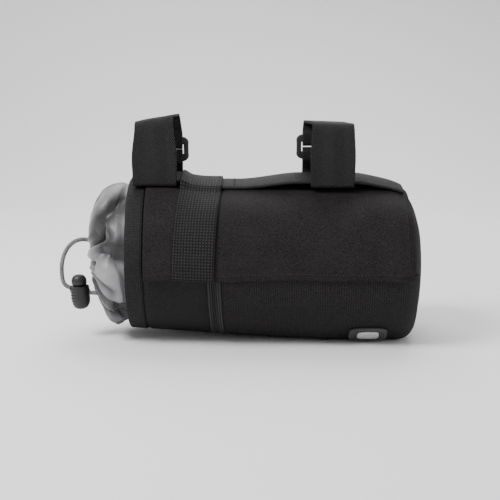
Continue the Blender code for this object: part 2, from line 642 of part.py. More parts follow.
def make_drawcord(material, folder):
    """The cord's free stretch, a tube with a point every cord's width."""
    points = cord_points(CORD_ROUTE, CORD_DIAMETER)
    return add_tube("drawcord", points, CORD_DIAMETER / 2, material, folder)


def add_turned(name, profile, material, folder, steps=LOCK_STEPS):
    """Turned solid: (radius, height) points that start and end on the axis, spun round Z."""
    mesh = bpy.data.meshes.new(name)
    mesh.from_pydata([(r, 0.0, z) for r, z in profile], [(k, k + 1) for k in range(len(profile) - 1)], [])
    mesh.materials.append(material)
    thing = bpy.data.objects.new(name, mesh)
    folder.objects.link(thing)
    screw = thing.modifiers.new("turn", "SCREW")
    screw.axis = "Z"
    screw.steps = steps
    screw.render_steps = steps
    screw.use_merge_vertices = True
    screw.merge_threshold = MERGE
    return thing


def round_side(radius, top, bottom, power, steps):
    """Side of a pebble-like piece: across^power + along^2 = 1 between its top and bottom."""
    middle, half = (top + bottom) / 2, (top - bottom) / 2
    turns = [math.pi / 2 - math.pi * k / steps for k in range(1, steps)]
    return [(radius * math.cos(a) ** (2.0 / power), middle + half * math.sin(a)) for a in turns]


def cut(thing, cutter):
    """Takes the cutter's volume out of a piece."""
    boolean = thing.modifiers.new("cut", "BOOLEAN")
    boolean.operation = "DIFFERENCE"
    boolean.object = cutter
    boolean.solver = "EXACT"


def add_cutter(name, mesh_maker, place, cutters):
    """A cutter from a bmesh primitive, in the lock's frame, kept out of the render."""
    mesh = bpy.data.meshes.new(name)
    shape = bmesh.new()
    mesh_maker(shape)
    shape.to_mesh(mesh)
    shape.free()
    cutter = bpy.data.objects.new(name, mesh)
    cutter.parent = place
    cutter.hide_render = True
    cutter.display_type = "WIRE"
    cutters.objects.link(cutter)
    return cutter


def make_cord_lock(barrel_material, button_material, folder, cutters):
    """Cord lock: a round barrel with a bore and a cross hole for the cord, and a button whose stem has
    a slot as long as its travel. Both hang on one empty at the cord, whose Z is the button's axis."""
    place = bpy.data.objects.new("cord_lock_place", None)
    place.location = CORD_ROUTE[CORD_LOCK_POINT]
    along = Vector(CORD_ROUTE[CORD_LOCK_POINT + 1]) - Vector(CORD_ROUTE[CORD_LOCK_POINT - 1])
    place.rotation_euler = (0.0, math.radians(LOCK_TILT), math.atan2(along.y, along.x))
    folder.objects.link(place)

    bore = STEM_RADIUS + STEM_CLEARANCE
    hole = CORD_DIAMETER / 2 + CORD_CLEARANCE
    stem_end = -hole - STEM_FOOT
    bore_end = stem_end - BUTTON_TRAVEL - CORD_CLEARANCE
    bottom = LOCK_TOP - LOCK_LENGTH
    side = round_side(LOCK_RADIUS, LOCK_TOP, bottom, 3.2, 10)
    lip = [(bore, LOCK_TOP - 0.0004)]
    outside = [(r, z) for r, z in side if r > bore + 0.0008]
    barrel = add_turned("cord_lock_barrel", [(0.0, bore_end), (bore, bore_end)] + lip + outside
                        + [(0.0, bottom)], barrel_material, folder)
    barrel.parent = place

    base = LOCK_TOP + BUTTON_TRAVEL + CORD_CLEARANCE
    cap = round_side(BUTTON_RADIUS, base + BUTTON_HEIGHT, base, 2.4, 8)
    cap = [(r, z) for r, z in cap if z > base + BUTTON_HEIGHT / 2 or r > STEM_RADIUS + 0.0010]
    button = add_turned("cord_lock_button", [(0.0, base + BUTTON_HEIGHT)] + cap
                        + [(STEM_RADIUS, base), (STEM_RADIUS, stem_end), (0.0, stem_end)], button_material, folder)
    button.parent = place

    falling = Matrix.Rotation(math.radians(CORD_HOLE_TILT), 4, "Y")

    def cord_hole(shape):
        bmesh.ops.create_cone(shape, cap_ends=True, segments=20, radius1=hole, radius2=hole, depth=4 * LOCK_RADIUS,
                              matrix=falling @ Matrix.Rotation(math.radians(90), 4, "Y"))

    def stem_slot(shape):
        tall = 2 * hole + BUTTON_TRAVEL
        size = Matrix.Diagonal((4 * STEM_RADIUS, 2 * hole, tall, 1.0))
        raised = Matrix.Translation((0.0, 0.0, BUTTON_TRAVEL / 2))
        bmesh.ops.create_cube(shape, size=1.0, matrix=falling @ raised @ size)

    cut(barrel, add_cutter("cutter_cord_hole", cord_hole, place, cutters))
    cut(button, add_cutter("cutter_stem_slot", stem_slot, place, cutters))


def add_patch(name, width, top, bottom, base, thickness, material, folder):
    """Flat patch with round corners on the skin: rings of points from the middle outwards, whose
    outline is across^4 + down^4 = 1."""
    steps, rings = 24, (0.5, 1.0)
    turn = np.arange(steps) * 2 * math.pi / steps
    across = np.sign(np.cos(turn)) * np.abs(np.cos(turn)) ** 0.5
    down = np.sign(np.sin(turn)) * np.abs(np.sin(turn)) ** 0.5
    shares = np.array(rings)[:, None]
    x = MOUTH_X + PATCH_CENTRE + width / 2 * shares * across[None, :]
    degrees = (top + bottom) / 2 + (bottom - top) / 2 * shares * down[None, :]
    middle = skin(MOUTH_X + PATCH_CENTRE, (top + bottom) / 2, base + thickness / 2)
    points = skin(x, degrees, base + thickness / 2).reshape(-1, 3)
    faces = grid_faces(len(rings), steps, True)
    faces = [tuple(v + 1 for v in face) for face in faces]
    faces += [(0, 1 + (j + 1) % steps, 1 + j) for j in range(steps)]
    thing = add_mesh_object(name, np.vstack([middle[None, :], points]), faces, material, folder)
    return solidify(thing, thickness)


def main():
    for thing in list(bpy.data.objects):
        bpy.data.objects.remove(thing, do_unlink=True)
    folder = bpy.data.collections.new("handlebar_bag")
    cutters = bpy.data.collections.new("handlebar_bag_cutters")
    bpy.context.scene.collection.children.link(folder)
    bpy.context.scene.collection.children.link(cutters)

    barrel_cloth = make_material("barrel_cloth", (0.010, 0.010, 0.010), 0.82)
    flap_cloth = make_material("flap_cloth", (0.014, 0.012, 0.012), 0.80)
    webbing = make_material("webbing", (0.013, 0.013, 0.013), 0.78)
    pocket_mesh = make_material("pocket_mesh", (0.012, 0.012, 0.012), 0.85)
    elastic = make_material("elastic", (0.015, 0.015, 0.015), 0.75)
    collar_cloth = make_material("collar_cloth", (0.200, 0.198, 0.200), 0.62)
    cord = make_material("cord", (0.160, 0.160, 0.162), 0.60)
    plastic = make_material("plastic", (0.012, 0.012, 0.013), 0.38)
    button_plastic = make_material("button_plastic", (0.016, 0.016, 0.017), 0.42)
    rubber = make_material("rubber", (0.030, 0.030, 0.031), 0.55)
    reflective = make_material("reflective", (0.550, 0.550, 0.560), 0.40)

    make_body_shell(barrel_cloth, folder)
    make_rim_binding(webbing, folder)
    make_collar(collar_cloth, folder)
    make_collar_hem(collar_cloth, folder)
    make_front_flap(flap_cloth, folder)
    make_mesh_pocket(pocket_mesh, folder)
    make_pocket_edge_tape(elastic, folder)
    make_top_band(webbing, folder)
    make_closure_strap(webbing, folder)
    for strap in BAR_STRAPS:
        make_bar_strap(strap, webbing, folder)
        make_strap_ring(strap, plastic, folder)
    make_drawcord(cord, folder)
    make_cord_lock(plastic, button_plastic, folder, cutters)

    patch_base = UNDER_FLAP
    inset_base = patch_base + PATCH_THICKNESS + GAP
    margin = (PATCH_BOTTOM - PATCH_TOP) * (1.0 - INSET_SHARE) / 2
    add_patch("rubber_patch", PATCH_WIDTH, PATCH_TOP, PATCH_BOTTOM, patch_base, PATCH_THICKNESS, rubber, folder)
    add_patch("patch_inset", PATCH_WIDTH * INSET_SHARE, PATCH_TOP + margin, PATCH_BOTTOM - margin,
              inset_base, INSET_THICKNESS, reflective, folder)


main()
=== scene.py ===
# %% [markdown]
# # A bicycle handlebar bag
# The bag is a padded cloth barrel that lies on its underside. Its mouth, at -X, is closed by a gathered
# grey collar with a drawcord, and two webbing loops on top take the handlebar. Every soft piece of the
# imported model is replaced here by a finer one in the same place, worked out from the same surface.

# %% Load the frame
import math

import bpy
import numpy as np
from mathutils import Matrix, Vector


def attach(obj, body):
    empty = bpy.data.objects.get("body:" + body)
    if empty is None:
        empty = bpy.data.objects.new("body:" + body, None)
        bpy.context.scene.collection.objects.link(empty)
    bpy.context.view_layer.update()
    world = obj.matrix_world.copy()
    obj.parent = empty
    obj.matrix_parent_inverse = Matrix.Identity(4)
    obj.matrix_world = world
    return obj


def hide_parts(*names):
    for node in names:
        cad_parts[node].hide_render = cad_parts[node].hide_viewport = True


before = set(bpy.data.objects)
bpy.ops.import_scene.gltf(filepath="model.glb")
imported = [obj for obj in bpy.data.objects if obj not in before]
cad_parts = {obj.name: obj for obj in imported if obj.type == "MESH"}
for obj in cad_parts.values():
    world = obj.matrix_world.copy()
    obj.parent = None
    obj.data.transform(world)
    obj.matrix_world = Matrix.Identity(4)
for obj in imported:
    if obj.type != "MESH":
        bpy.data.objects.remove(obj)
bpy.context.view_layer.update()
looks = bpy.data.collections.new("bag_looks")
bpy.context.scene.collection.children.link(looks)

# %% [markdown]
# ## The camera
# The photograph was taken from just above the bag's middle with a long lens. The distance and the lens
# come from the sizes of near and far pieces in the picture.

# %% Camera at the photograph's angle
CAMERA_DISTANCE = 0.950
CAMERA_ELEVATION = math.radians(9.5)
CAMERA_TARGET = Vector((-0.00344, 0.0, 0.0725))
CAMERA_LENS = 79.5         # mm, on a 36 mm sensor

lens = bpy.data.cameras.new("studio_camera")
lens.lens = CAMERA_LENS
lens.sensor_width = 36.0
camera = bpy.data.objects.new("studio_camera", lens)
back = Vector((0.0, -math.cos(CAMERA_ELEVATION), math.sin(CAMERA_ELEVATION)))
camera.location = CAMERA_TARGET + back * CAMERA_DISTANCE
camera.rotation_euler = (-back).to_track_quat("-Z", "Y").to_euler()
looks.objects.link(camera)
bpy.context.scene.camera = camera
print("camera at", [round(c, 3) for c in camera.location])

# %% [markdown]
# ## Helpers for shapes
# A piece of cloth is a grid of points: one direction runs along it, the other across or round it. The grid
# carries its own map in millimetres, so a weave keeps its real size wherever the cloth bends.

# %% Grids, tubes and turned solids
MM = 1000.0                # map units in a metre


def smooth(value, start, end):
    """Smooth step: 0 up to start, 1 from end on, with a soft rise between."""
    share = np.clip((np.asarray(value, dtype=float) - start) / (end - start), 0.0, 1.0)
    return share * share * (3.0 - 2.0 * share)


def bell(value, width):
    """1 at 0, falling to a half at width on either side."""
    return np.exp(-0.693 * (value / width) ** 2)


def measured_map(points, closed, looped):
    """Map of a grid in mm: along is the mean length down the columns, across the mean length of the rows.
    A closed grid gets one more column, and a looped one one more row, so that the map doesn't jump back."""
    around = np.concatenate([points, points[:, :1]], axis=1) if closed else points
    around = np.concatenate([around, around[:1]]) if looped else around
    down = np.linalg.norm(np.diff(around, axis=0), axis=-1).mean(axis=1)
    over = np.linalg.norm(np.diff(around, axis=1), axis=-1).mean(axis=0)
    u = np.concatenate([[0.0], np.cumsum(down)])[:, None]
    v = np.concatenate([[0.0], np.cumsum(over)])[None, :]
    return np.stack(np.broadcast_arrays(u, v), axis=-1) * MM


def make_grid(name, points, finish, closed=False, looped=False, wall=0.0, offset=0.0, flip=False, foot=None,
              pole=None, painted_shading=None, even=True):
    """Piece from an array (rows, columns, 3) of points: quads between neighbours. Closed joins the last
    column to the first, looped the last row to the first. A foot is a point that closes the first row with
    a fan of triangles, a pole one that closes the last row, and Solidify gives a wall."""
    rows, columns = points.shape[:2]
    across = columns if closed else columns - 1
    down = rows if looped else rows - 1
    i, j = (a.ravel() for a in np.meshgrid(np.arange(down), np.arange(across), indexing="ij"))
    row = np.stack([i, i, i + 1, i + 1], axis=1)
    column = np.stack([j, j + 1, j + 1, j], axis=1)
    if flip:
        row, column = row[:, ::-1], column[:, ::-1]
    faces = (row % rows * columns + column % columns).tolist()
    cloth_map = measured_map(points, closed, looped)
    corners = cloth_map[row, column].reshape(-1, 2)
    vertices = points.reshape(-1, 3)
    for point, end_row in ((foot, 0), (pole, rows - 1)):
        if point is None:
            continue
        turn = np.arange(across)
        fan = np.stack([end_row * columns + turn, end_row * columns + (turn + 1) % columns,
                        np.full(across, len(vertices))], axis=1)
        edge = cloth_map[end_row, np.stack([turn, turn + 1, turn], axis=1)]
        if flip != (end_row == 0):
            fan, edge = fan[:, ::-1], edge[:, ::-1]
        faces += fan.tolist()
        corners = np.vstack([corners, edge.reshape(-1, 2)])
        vertices = np.vstack([vertices, [point]])
    mesh = bpy.data.meshes.new(name)
    mesh.from_pydata(vertices.tolist(), [], faces)
    mesh.uv_layers.new(name="cloth").data.foreach_set("uv", np.ascontiguousarray(corners, dtype=np.float32).ravel())
    # An optional value per point of painted shading, which the satin finish turns into darker or lighter grey.
    if painted_shading is not None:
        shade = np.broadcast_to(painted_shading, (rows, columns)).astype(np.float32).ravel()
        mesh.attributes.new("painted_shading", "FLOAT", "POINT").data.foreach_set("value", shade)
    mesh.shade_smooth()
    mesh.materials.append(finish)
    piece = bpy.data.objects.new(name, mesh)
    looks.objects.link(piece)
    if wall:
        thick = piece.modifiers.new("wall", "SOLIDIFY")
        thick.thickness = wall
        thick.offset = offset
        thick.use_even_offset = even
    return piece


def ride(piece, slot, *nodes, body="bag"):
    """Attaches a piece to its body and hides the nodes of the imported model that it stands for. The slot is not used.
    """
    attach(piece, body)
    if nodes:
        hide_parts(*nodes)
    return piece


def frames_along(points):
    """Direction of travel at each point of a line, and two directions square to it that don't twist."""
    ahead = np.gradient(points, axis=0)
    ahead /= np.linalg.norm(ahead, axis=1)[:, None]
    side = np.zeros_like(points)
    side[0] = np.cross(ahead[0], (0.31, 0.52, 0.80))
    for k in range(1, len(points)):
        side[k] = side[k - 1]
        side[k] -= ahead[k] * side[k].dot(ahead[k])
        side[k] /= np.linalg.norm(side[k])
    side[0] /= np.linalg.norm(side[0])
    return ahead, side, np.cross(ahead, side)


def tube_points(points, radius, steps, closed=False):
    """Rings round a line: the centre plus radius times cosine and sine along its two square directions."""
    line = np.vstack([points[-1:], points, points[:1]]) if closed else points
    ahead, side, up = frames_along(line)
    if closed:
        ahead, side, up = ahead[1:-1], side[1:-1], up[1:-1]
    turn = np.linspace(0.0, 2 * math.pi, steps, endpoint=False)
    radius = np.broadcast_to(np.asarray(radius, dtype=float), (len(points),))
    ring = side[:, None] * np.cos(turn)[None, :, None] + up[:, None] * np.sin(turn)[None, :, None]
    return points[:, None] + ring * radius[:, None, None]


def even_line(route, spacing):
    """Evenly spaced points on a smooth curve through the route: each span is the cubic whose slopes are
    those between the neighbouring points."""
    route = np.array(route, dtype=float)
    padded = np.vstack([2 * route[0] - route[1], route, 2 * route[-1] - route[-2]])
    t = np.linspace(0.0, 1.0, 24, endpoint=False)[:, None]
    fine = [b + 0.5 * t * (c - a + t * (2 * a - 5 * b + 4 * c - d + t * (3 * (b - c) + d - a)))
            for a, b, c, d in zip(padded, padded[1:], padded[2:], padded[3:])]
    fine = np.vstack(fine + [route[-1:]])
    length = np.concatenate([[0.0], np.cumsum(np.linalg.norm(np.diff(fine, axis=0), axis=1))])
    marks = np.linspace(0.0, length[-1], round(length[-1] / spacing) + 1)
    return np.stack([np.interp(marks, length, fine[:, k]) for k in range(3)], axis=1)


# %% [markdown]
# ## Helpers for finishes
# A finish is a set of nodes. Colours are written as the sRGB values that the eye would pick, and one
# function adds a node, sets it and links it.

# %% Colours and nodes


def linear(colour):
    """sRGB hex to linear: (c / 12.92) for dark values, ((c + 0.055) / 1.055) ^ 2.4 for the others."""
    parts = [int(colour[k:k + 2], 16) / 255.0 for k in (1, 3, 5)]
    return (*[c / 12.92 if c <= 0.04045 else ((c + 0.055) / 1.055) ** 2.4 for c in parts], 1.0)


def add(tree, kind, inputs=(), **settings):
    """Adds a node: settings are its properties, and inputs are values or other nodes' sockets."""
    node = tree.nodes.new("ShaderNode" + kind)
    for name, value in settings.items():
        setattr(node, name, value)
    for key, value in dict(inputs).items():
        if isinstance(value, bpy.types.NodeSocket):
            tree.links.new(value, node.inputs[key])
        else:
            node.inputs[key].default_value = value
    return node


def maths(tree, operation, first, second=0.0):
    """One sum: the operation on two numbers or sockets."""
    return add(tree, "Math", {0: first, 1: second}, operation=operation).outputs[0]


def ramp(tree, value, *stops):
    """Colour ramp between stops of (place, colour)."""
    node = add(tree, "ValToRGB", {"Fac": value})
    elements = node.color_ramp.elements
    while len(elements) < len(stops):
        elements.new(0.5)
    for element, (place, colour) in zip(elements, stops):
        element.position = place
        element.color = linear(colour)
    return node.outputs["Color"]


def new_finish(name, roughness, **sockets):
    """Empty Principled material: returns the material, its tree and its shader."""
    finish = bpy.data.materials.new(name)
    finish.use_nodes = True
    shader = finish.node_tree.nodes["Principled BSDF"]
    shader.inputs["Roughness"].default_value = roughness
    for key, value in sockets.items():
        shader.inputs[key.replace("_", " ")].default_value = value
    return finish, finish.node_tree, shader


def cloth_axes(tree):
    """The piece's own map in mm: along it and across it."""
    place = add(tree, "UVMap", uv_map="cloth").outputs["UV"]
    split = add(tree, "SeparateXYZ", {0: place})
    return place, split.outputs["X"], split.outputs["Y"]


def waves(tree, value, pitch, shift=0.0):
    """A wave from -1 to 1 that repeats each pitch, in mm."""
    return maths(tree, "SINE", maths(tree, "ADD", maths(tree, "MULTIPLY", value, 2 * math.pi / pitch), shift))


def finish_cloth(finish, height, depth, colours, colour_by, wear_scale=0.02, wear=0.30, speckle=1.6):
    """Ends a cloth: colour by the weave's height, mixed with broad patches of wear, and the height as bump."""
    tree = finish.node_tree
    shader = tree.nodes["Principled BSDF"]
    broad = add(tree, "TexNoise", {"Vector": add(tree, "TexCoord").outputs["Object"], "Scale": 1.0 / wear_scale,
                                   "Detail": 4.0, "Roughness": 0.6}).outputs["Fac"]
    grain = add(tree, "TexNoise", {"Vector": add(tree, "TexCoord").outputs["Object"], "Scale": MM / 1.1,
                                   "Detail": 1.0}).outputs["Fac"]
    worn = add(tree, "Mix", {"Factor": wear, "A": colour_by, "B": broad}, data_type="FLOAT").outputs["Result"]
    mixed = maths(tree, "ADD", worn, maths(tree, "MULTIPLY", maths(tree, "SUBTRACT", grain, 0.5), speckle))
    tree.links.new(ramp(tree, mixed, (0.15, colours[0]), (0.90, colours[1])), shader.inputs["Base Color"])
    bump = add(tree, "Bump", {"Height": height, "Strength": 1.0, "Distance": depth / MM})
    tree.links.new(bump.outputs["Normal"], shader.inputs["Normal"])


# %% [markdown]
# ## Braided cord and the drawcord's route
# The collar is drawn shut by one grey polyester cord about 3.6 mm thick. It comes out of the hem, bends
# round in an arc, passes through the cord lock and goes back into the collar. The whole free stretch
# shows, so its length is the length of the route.

# %% Braided polyester cord
CORD_DIAMETER = 0.0036
CORD_ROUTE = (
    (-0.13940, -0.00680, 0.08240), (-0.14260, -0.00690, 0.08270), (-0.14720, -0.00820, 0.08300),
    (-0.15190, -0.00980, 0.08180), (-0.15610, -0.01150, 0.07880), (-0.15940, -0.01310, 0.07440),
    (-0.16170, -0.01440, 0.06880), (-0.16290, -0.01590, 0.06280), (-0.16300, -0.01660, 0.05680),
    (-0.16260, -0.01710, 0.05150), (-0.16160, -0.01750, 0.04770), (-0.15960, -0.01780, 0.04500),
    (-0.15620, -0.01800, 0.04330), (-0.15200, -0.01815, 0.04225), (-0.14780, -0.01830, 0.04120),
    (-0.14360, -0.01845, 0.04015), (-0.13940, -0.01860, 0.03910), (-0.13320, -0.01835, 0.03865),
)
CORD_LOCK_POINT = 14       # the point of the route that the lock sits on

cord_finish, tree, _ = new_finish("braided_polyester_cord", 0.62)
_, along, round_it = cloth_axes(tree)
# Two sets of strands cross at a slant: 1.5 mm apart, about as on a real 3.6 mm braid.
strands = maths(tree, "MULTIPLY", waves(tree, maths(tree, "ADD", along, round_it), 1.5),
                waves(tree, maths(tree, "SUBTRACT", along, round_it), 1.5))
braid = maths(tree, "ADD", maths(tree, "MULTIPLY", strands, 0.5), 0.5)
finish_cloth(cord_finish, braid, 0.25, ("#454547", "#8c8c8e"), braid, wear_scale=0.006, wear=0.35)

# %% Drawcord
cord_line = even_line(CORD_ROUTE, 0.0008)
cord_rings = tube_points(cord_line, CORD_DIAMETER / 2, 16)
cord_rings = np.concatenate([cord_line[:1, None].repeat(16, axis=1), cord_rings,
                             cord_line[-1:, None].repeat(16, axis=1)])
cord_rings[0] += (cord_rings[1] - cord_rings[0]) * 0.02
cord_rings[-1] += (cord_rings[-2] - cord_rings[-1]) * 0.02
drawcord = make_grid("drawcord_braid", cord_rings, cord_finish, closed=True, foot=cord_line[0], pole=cord_line[-1])
ride(drawcord, "cord", "drawcord")

# %% [markdown]
# ## The cord lock
# A cord lock is two acetal mouldings: a pebble-shaped barrel with a cup at its top, and a sprung button in
# the cup. Its right side, by the bag, is a smooth disc, and its left side has grip ribs. Both are turned
# shapes that are pressed a little flat, so a profile spun round the button's axis and scaled gives them.
# The stem and the spring inside are hidden, and aren't drawn.

# %% Moulded acetal
LOCK_RADIUS = 0.0082
LOCK_TOP = 0.0055          # barrel's top above the cord
LOCK_LENGTH = 0.0210
BUTTON_RADIUS = 0.0065     # leaves room in the cup when it is pressed
LOCK_TILT = -4.0           # degrees, the button leans away from the bag
HOLE_TILT = 14.0           # degrees that the cord's hole falls towards the bag


def moulded(name, dark, light, roughness):
    """Matte moulding: a fine spark-eroded grain of 0.4 mm in the bump, and handling marks in the gloss."""
    finish, tree, shader = new_finish(name, roughness, IOR=1.48)
    place = add(tree, "TexCoord").outputs["Object"]
    grain = add(tree, "TexNoise", {"Vector": place, "Scale": MM / 0.4, "Detail": 2.0}).outputs["Fac"]
    broad = add(tree, "TexNoise", {"Vector": place, "Scale": MM / 9.0, "Detail": 3.0}).outputs["Fac"]
    tree.links.new(ramp(tree, broad, (0.35, dark), (0.75, light)), shader.inputs["Base Color"])
    gloss = add(tree, "MapRange", {"Value": broad, "To Min": roughness - 0.06, "To Max": roughness + 0.10})
    tree.links.new(gloss.outputs["Result"], shader.inputs["Roughness"])
    bump = add(tree, "Bump", {"Height": grain, "Strength": 0.5, "Distance": 0.05 / MM})
    tree.links.new(bump.outputs["Normal"], shader.inputs["Normal"])
    return finish


acetal = moulded("moulded_acetal", "#131213", "#201f20", 0.42)
button_acetal = moulded("moulded_acetal_button", "#181718", "#262526", 0.45)

# %% Cord lock's barrel and button
lock_at = np.array(CORD_ROUTE[CORD_LOCK_POINT])
through = np.array(CORD_ROUTE[CORD_LOCK_POINT + 1]) - np.array(CORD_ROUTE[CORD_LOCK_POINT - 1])
lock_turn = (Matrix.Rotation(math.atan2(through[1], through[0]), 3, "Z")
             @ Matrix.Rotation(math.radians(LOCK_TILT), 3, "Y"))


def in_lock(points):
    """Points of the lock's own frame, whose Z is the button's axis, in the bag's frame."""
    return lock_at + points @ np.array(lock_turn).T


def turned(profile, columns=96, ribs=0.0, flat=1.0):
    """Turned shape from (radius, height) pairs, squeezed front to back by flat. Ribs is the depth of the
    grip ribs, a cosine of 2.6 mm along the height, on the side away from the bag."""
    radius, height = (np.array(part)[:, None] for part in zip(*profile))
    turn = np.linspace(0.0, 2 * math.pi, columns, endpoint=False)[None, :]
    away = smooth(-np.cos(turn), 0.15, 0.65) * smooth(radius, 0.0060, 0.0074)
    wide = radius - ribs * away * (0.5 + 0.5 * np.cos(height * 2 * math.pi / 0.0026))
    return np.stack([wide * np.cos(turn), wide * np.sin(turn) * flat, height + 0.0 * turn], axis=-1)


def pebble(radius, bottom, top, power, rows, start=-89.0, end=89.0):
    """Profile of a pebble: across^power + along^2 = 1 between bottom and top, from start to end degrees."""
    rise = np.radians(np.linspace(start, end, rows))
    middle, half = (bottom + top) / 2, (top - bottom) / 2
    return [(radius * math.cos(a) ** (2.0 / power), middle + half * math.sin(a)) for a in rise]


# The barrel's lower half is a pebble. Its upper half widens little, and ends in a rim round a cup.
CUP_RADIUS, CUP_DEPTH, RIM_ROUND = 0.0071, 0.0052, 0.00045
RIM_TOP = LOCK_TOP - 0.0018
foot = LOCK_TOP - LOCK_LENGTH - 0.0008
barrel_profile = pebble(LOCK_RADIUS, foot, RIM_TOP, 3.0, 30, end=-2.0)
middle_height = (foot + RIM_TOP) / 2
rim_radius = CUP_RADIUS + RIM_ROUND
for share in np.linspace(0.0, 1.0, 24):
    barrel_profile.append((LOCK_RADIUS + (rim_radius + RIM_ROUND - LOCK_RADIUS) * share ** 3,
                           middle_height + (RIM_TOP - RIM_ROUND - middle_height) * share))
barrel_profile += [(rim_radius + RIM_ROUND * math.cos(a), RIM_TOP - RIM_ROUND + RIM_ROUND * math.sin(a))
                   for a in np.radians((30.0, 60.0, 90.0, 120.0, 150.0, 180.0))]
barrel_profile += [(CUP_RADIUS - 0.0009 * share ** 2, RIM_TOP - RIM_ROUND - (CUP_DEPTH - RIM_ROUND) * share)
                   for share in (0.25, 0.5, 0.75, 1.0)]
barrel_profile += [(CUP_RADIUS * share, RIM_TOP - CUP_DEPTH - 0.0003) for share in (0.8, 0.55, 0.3, 0.05)]
barrel_points = turned(barrel_profile, ribs=0.0007, flat=0.90)
# The disc on the bag's side is flatter than the pebble: it is pressed in towards its middle plane.
outside_cup = np.array([radius for radius, _ in barrel_profile])[:, None] > CUP_RADIUS
flatter = np.minimum(barrel_points[..., 0], LOCK_RADIUS * 0.96)
barrel_points[..., 0] = np.where(outside_cup, flatter, barrel_points[..., 0])
barrel = make_grid("cord_lock_barrel_moulding", in_lock(barrel_points), acetal, closed=True,
                   foot=in_lock(np.array([0.0, 0.0, foot])), pole=in_lock(np.array([0.0, 0.0, RIM_TOP - CUP_DEPTH - 0.0003])))
ride(barrel, "plastic", "cord_lock_barrel")

BUTTON_FOOT, BUTTON_CROWN = RIM_TOP - 0.0022, RIM_TOP + 0.0098
button_points = turned(pebble(BUTTON_RADIUS, BUTTON_FOOT, BUTTON_CROWN, 2.6, 48), flat=0.90)
button = make_grid("cord_lock_button_moulding", in_lock(button_points), button_acetal, closed=True,
                   foot=in_lock(np.array([0.0, 0.0, BUTTON_FOOT])), pole=in_lock(np.array([0.0, 0.0, BUTTON_CROWN])))
ride(button, "button_plastic", "cord_lock_button", body="lock_button")

# The cord's way through the barrel: a rounded eyelet on each side.
EYELET_RADIUS, EYELET_LIP = 0.0021, 0.0005
falling = np.array(Matrix.Rotation(math.radians(HOLE_TILT), 3, "Y"))
round_hole = np.linspace(0.0, 2 * math.pi, 40, endpoint=False)
for side_name, side in (("left", -1.0), ("right", 1.0)):
    ring = np.stack([np.full(40, side * LOCK_RADIUS * 0.95), EYELET_RADIUS * np.cos(round_hole),
                     EYELET_RADIUS * np.sin(round_hole)], axis=-1)
    lip = tube_points(in_lock(ring @ falling.T), EYELET_LIP, 10, closed=True)
    ride(make_grid("cord_lock_eyelet_" + side_name, lip, acetal, closed=True, looped=True), "plastic")

print("cord lock:", len(barrel.data.vertices) + len(button.data.vertices), "points")

# %% [markdown]
# ## One surface for every layer of the barrel
# The sewn layers follow the padded barrel, so one function gives the point at a distance along it, an
# angle round it from the top towards the front, and a height above its cloth. A few slow waves of half a
# millimetre, the same for every layer, take away the look of a machined cylinder. They die out at the
# mouth, under the loops and where the bag rests.

# %% The barrel's skin
TIP_X = 0.1405
MOUTH_X = -0.1035
BODY_RADIUS = 0.0688
MOUTH_RADIUS = 0.0642
AXIS_Y, AXIS_Z, MOUTH_Z = 0.00165, 0.0638, 0.070
TAPER_START = 0.160
WALL = 0.003
SHOULDER_TOP, SHOULDER_BOTTOM = 0.0355, 0.0225
END_FLATNESS, END_ROUNDNESS = 3.0, 2.8
GAP = 0.00045
CLOTH = 0.0012             # flap, pocket, tape and binding
RIM_INSET = CLOTH + GAP
BINDING_WIDTH = 0.0128
BAND_CENTRE, BAND_HALF_ANGLE = 5.5, 16.0
SOFTNESS = 0.00055
PRESS_DEPTH = 0.0036       # the band and the loops under it press the padding in


def section(x):
    """Radius and centre height of the barrel at x: straight lines from its full part to its mouth."""
    narrow = np.clip((MOUTH_X + TAPER_START - x) / TAPER_START, 0.0, 1.2)
    return BODY_RADIUS + (MOUTH_RADIUS - BODY_RADIUS) * narrow, AXIS_Z + (MOUTH_Z - AXIS_Z) * narrow


def shoulder_length(angle):
    """Length of the rounded end: it blends from top to underside by the cosine."""
    return SHOULDER_TOP + (SHOULDER_BOTTOM - SHOULDER_TOP) * (1.0 - np.cos(angle)) / 2


def softness(x, degrees):
    """Slow waves of the padding: products of sines along and round the barrel, with fades."""
    angle = np.radians(degrees)
    waves_here = (np.sin(2 * math.pi * x / 0.113 + 0.7) * np.sin(2 * angle + 0.9)
                  + 0.6 * np.sin(2 * math.pi * x / 0.059 + 2.0) * np.sin(3 * angle + 2.0))
    pucker = 1.1 * np.sin(9 * angle + 0.4) * bell(x - (TIP_X - 0.016), 0.011)
    at_mouth = smooth(x, MOUTH_X + BINDING_WIDTH, MOUTH_X + 0.045)
    away = np.abs((degrees - BAND_CENTRE + 180.0) % 360.0 - 180.0)
    return SOFTNESS * (waves_here * at_mouth + pucker) * smooth(away, 20.0, 45.0) * smooth(180.0 - away, 35.0, 55.0)


def pressed(x, degrees):
    """How far the sewn band presses the padding in: fully near its middle, fading round and at the mouth."""
    away = np.abs((degrees - BAND_CENTRE + 180.0) % 360.0 - 180.0)
    return PRESS_DEPTH * (1.0 - smooth(away, 20.0, 50.0)) * smooth(x - MOUTH_X, 0.030, 0.066)


def skin(x, degrees, height, radius=None):
    """Points of the barrel at x, an angle and a height above its cloth. Over the rounded end the radius
    closes in by across^END_FLATNESS + along^END_ROUNDNESS = 1; what would sink lies flat."""
    x, degrees, height = np.broadcast_arrays(*(np.asarray(v, dtype=float) for v in (x, degrees, height)))
    angle = np.radians(degrees)
    full, centre = section(x)
    if radius is None:
        length = shoulder_length(angle)
        along = np.clip((x - (TIP_X - length)) / (length + height), 0.0, 1.0)
        closing = (1.0 - along ** END_ROUNDNESS) ** (1.0 / END_FLATNESS)
        radius = (full + height + softness(x, degrees) - pressed(x, degrees)) * closing
    y = AXIS_Y - radius * np.sin(angle)
    z = np.maximum(centre + radius * np.cos(angle), -height)
    return np.stack([x, y, z], axis=-1)


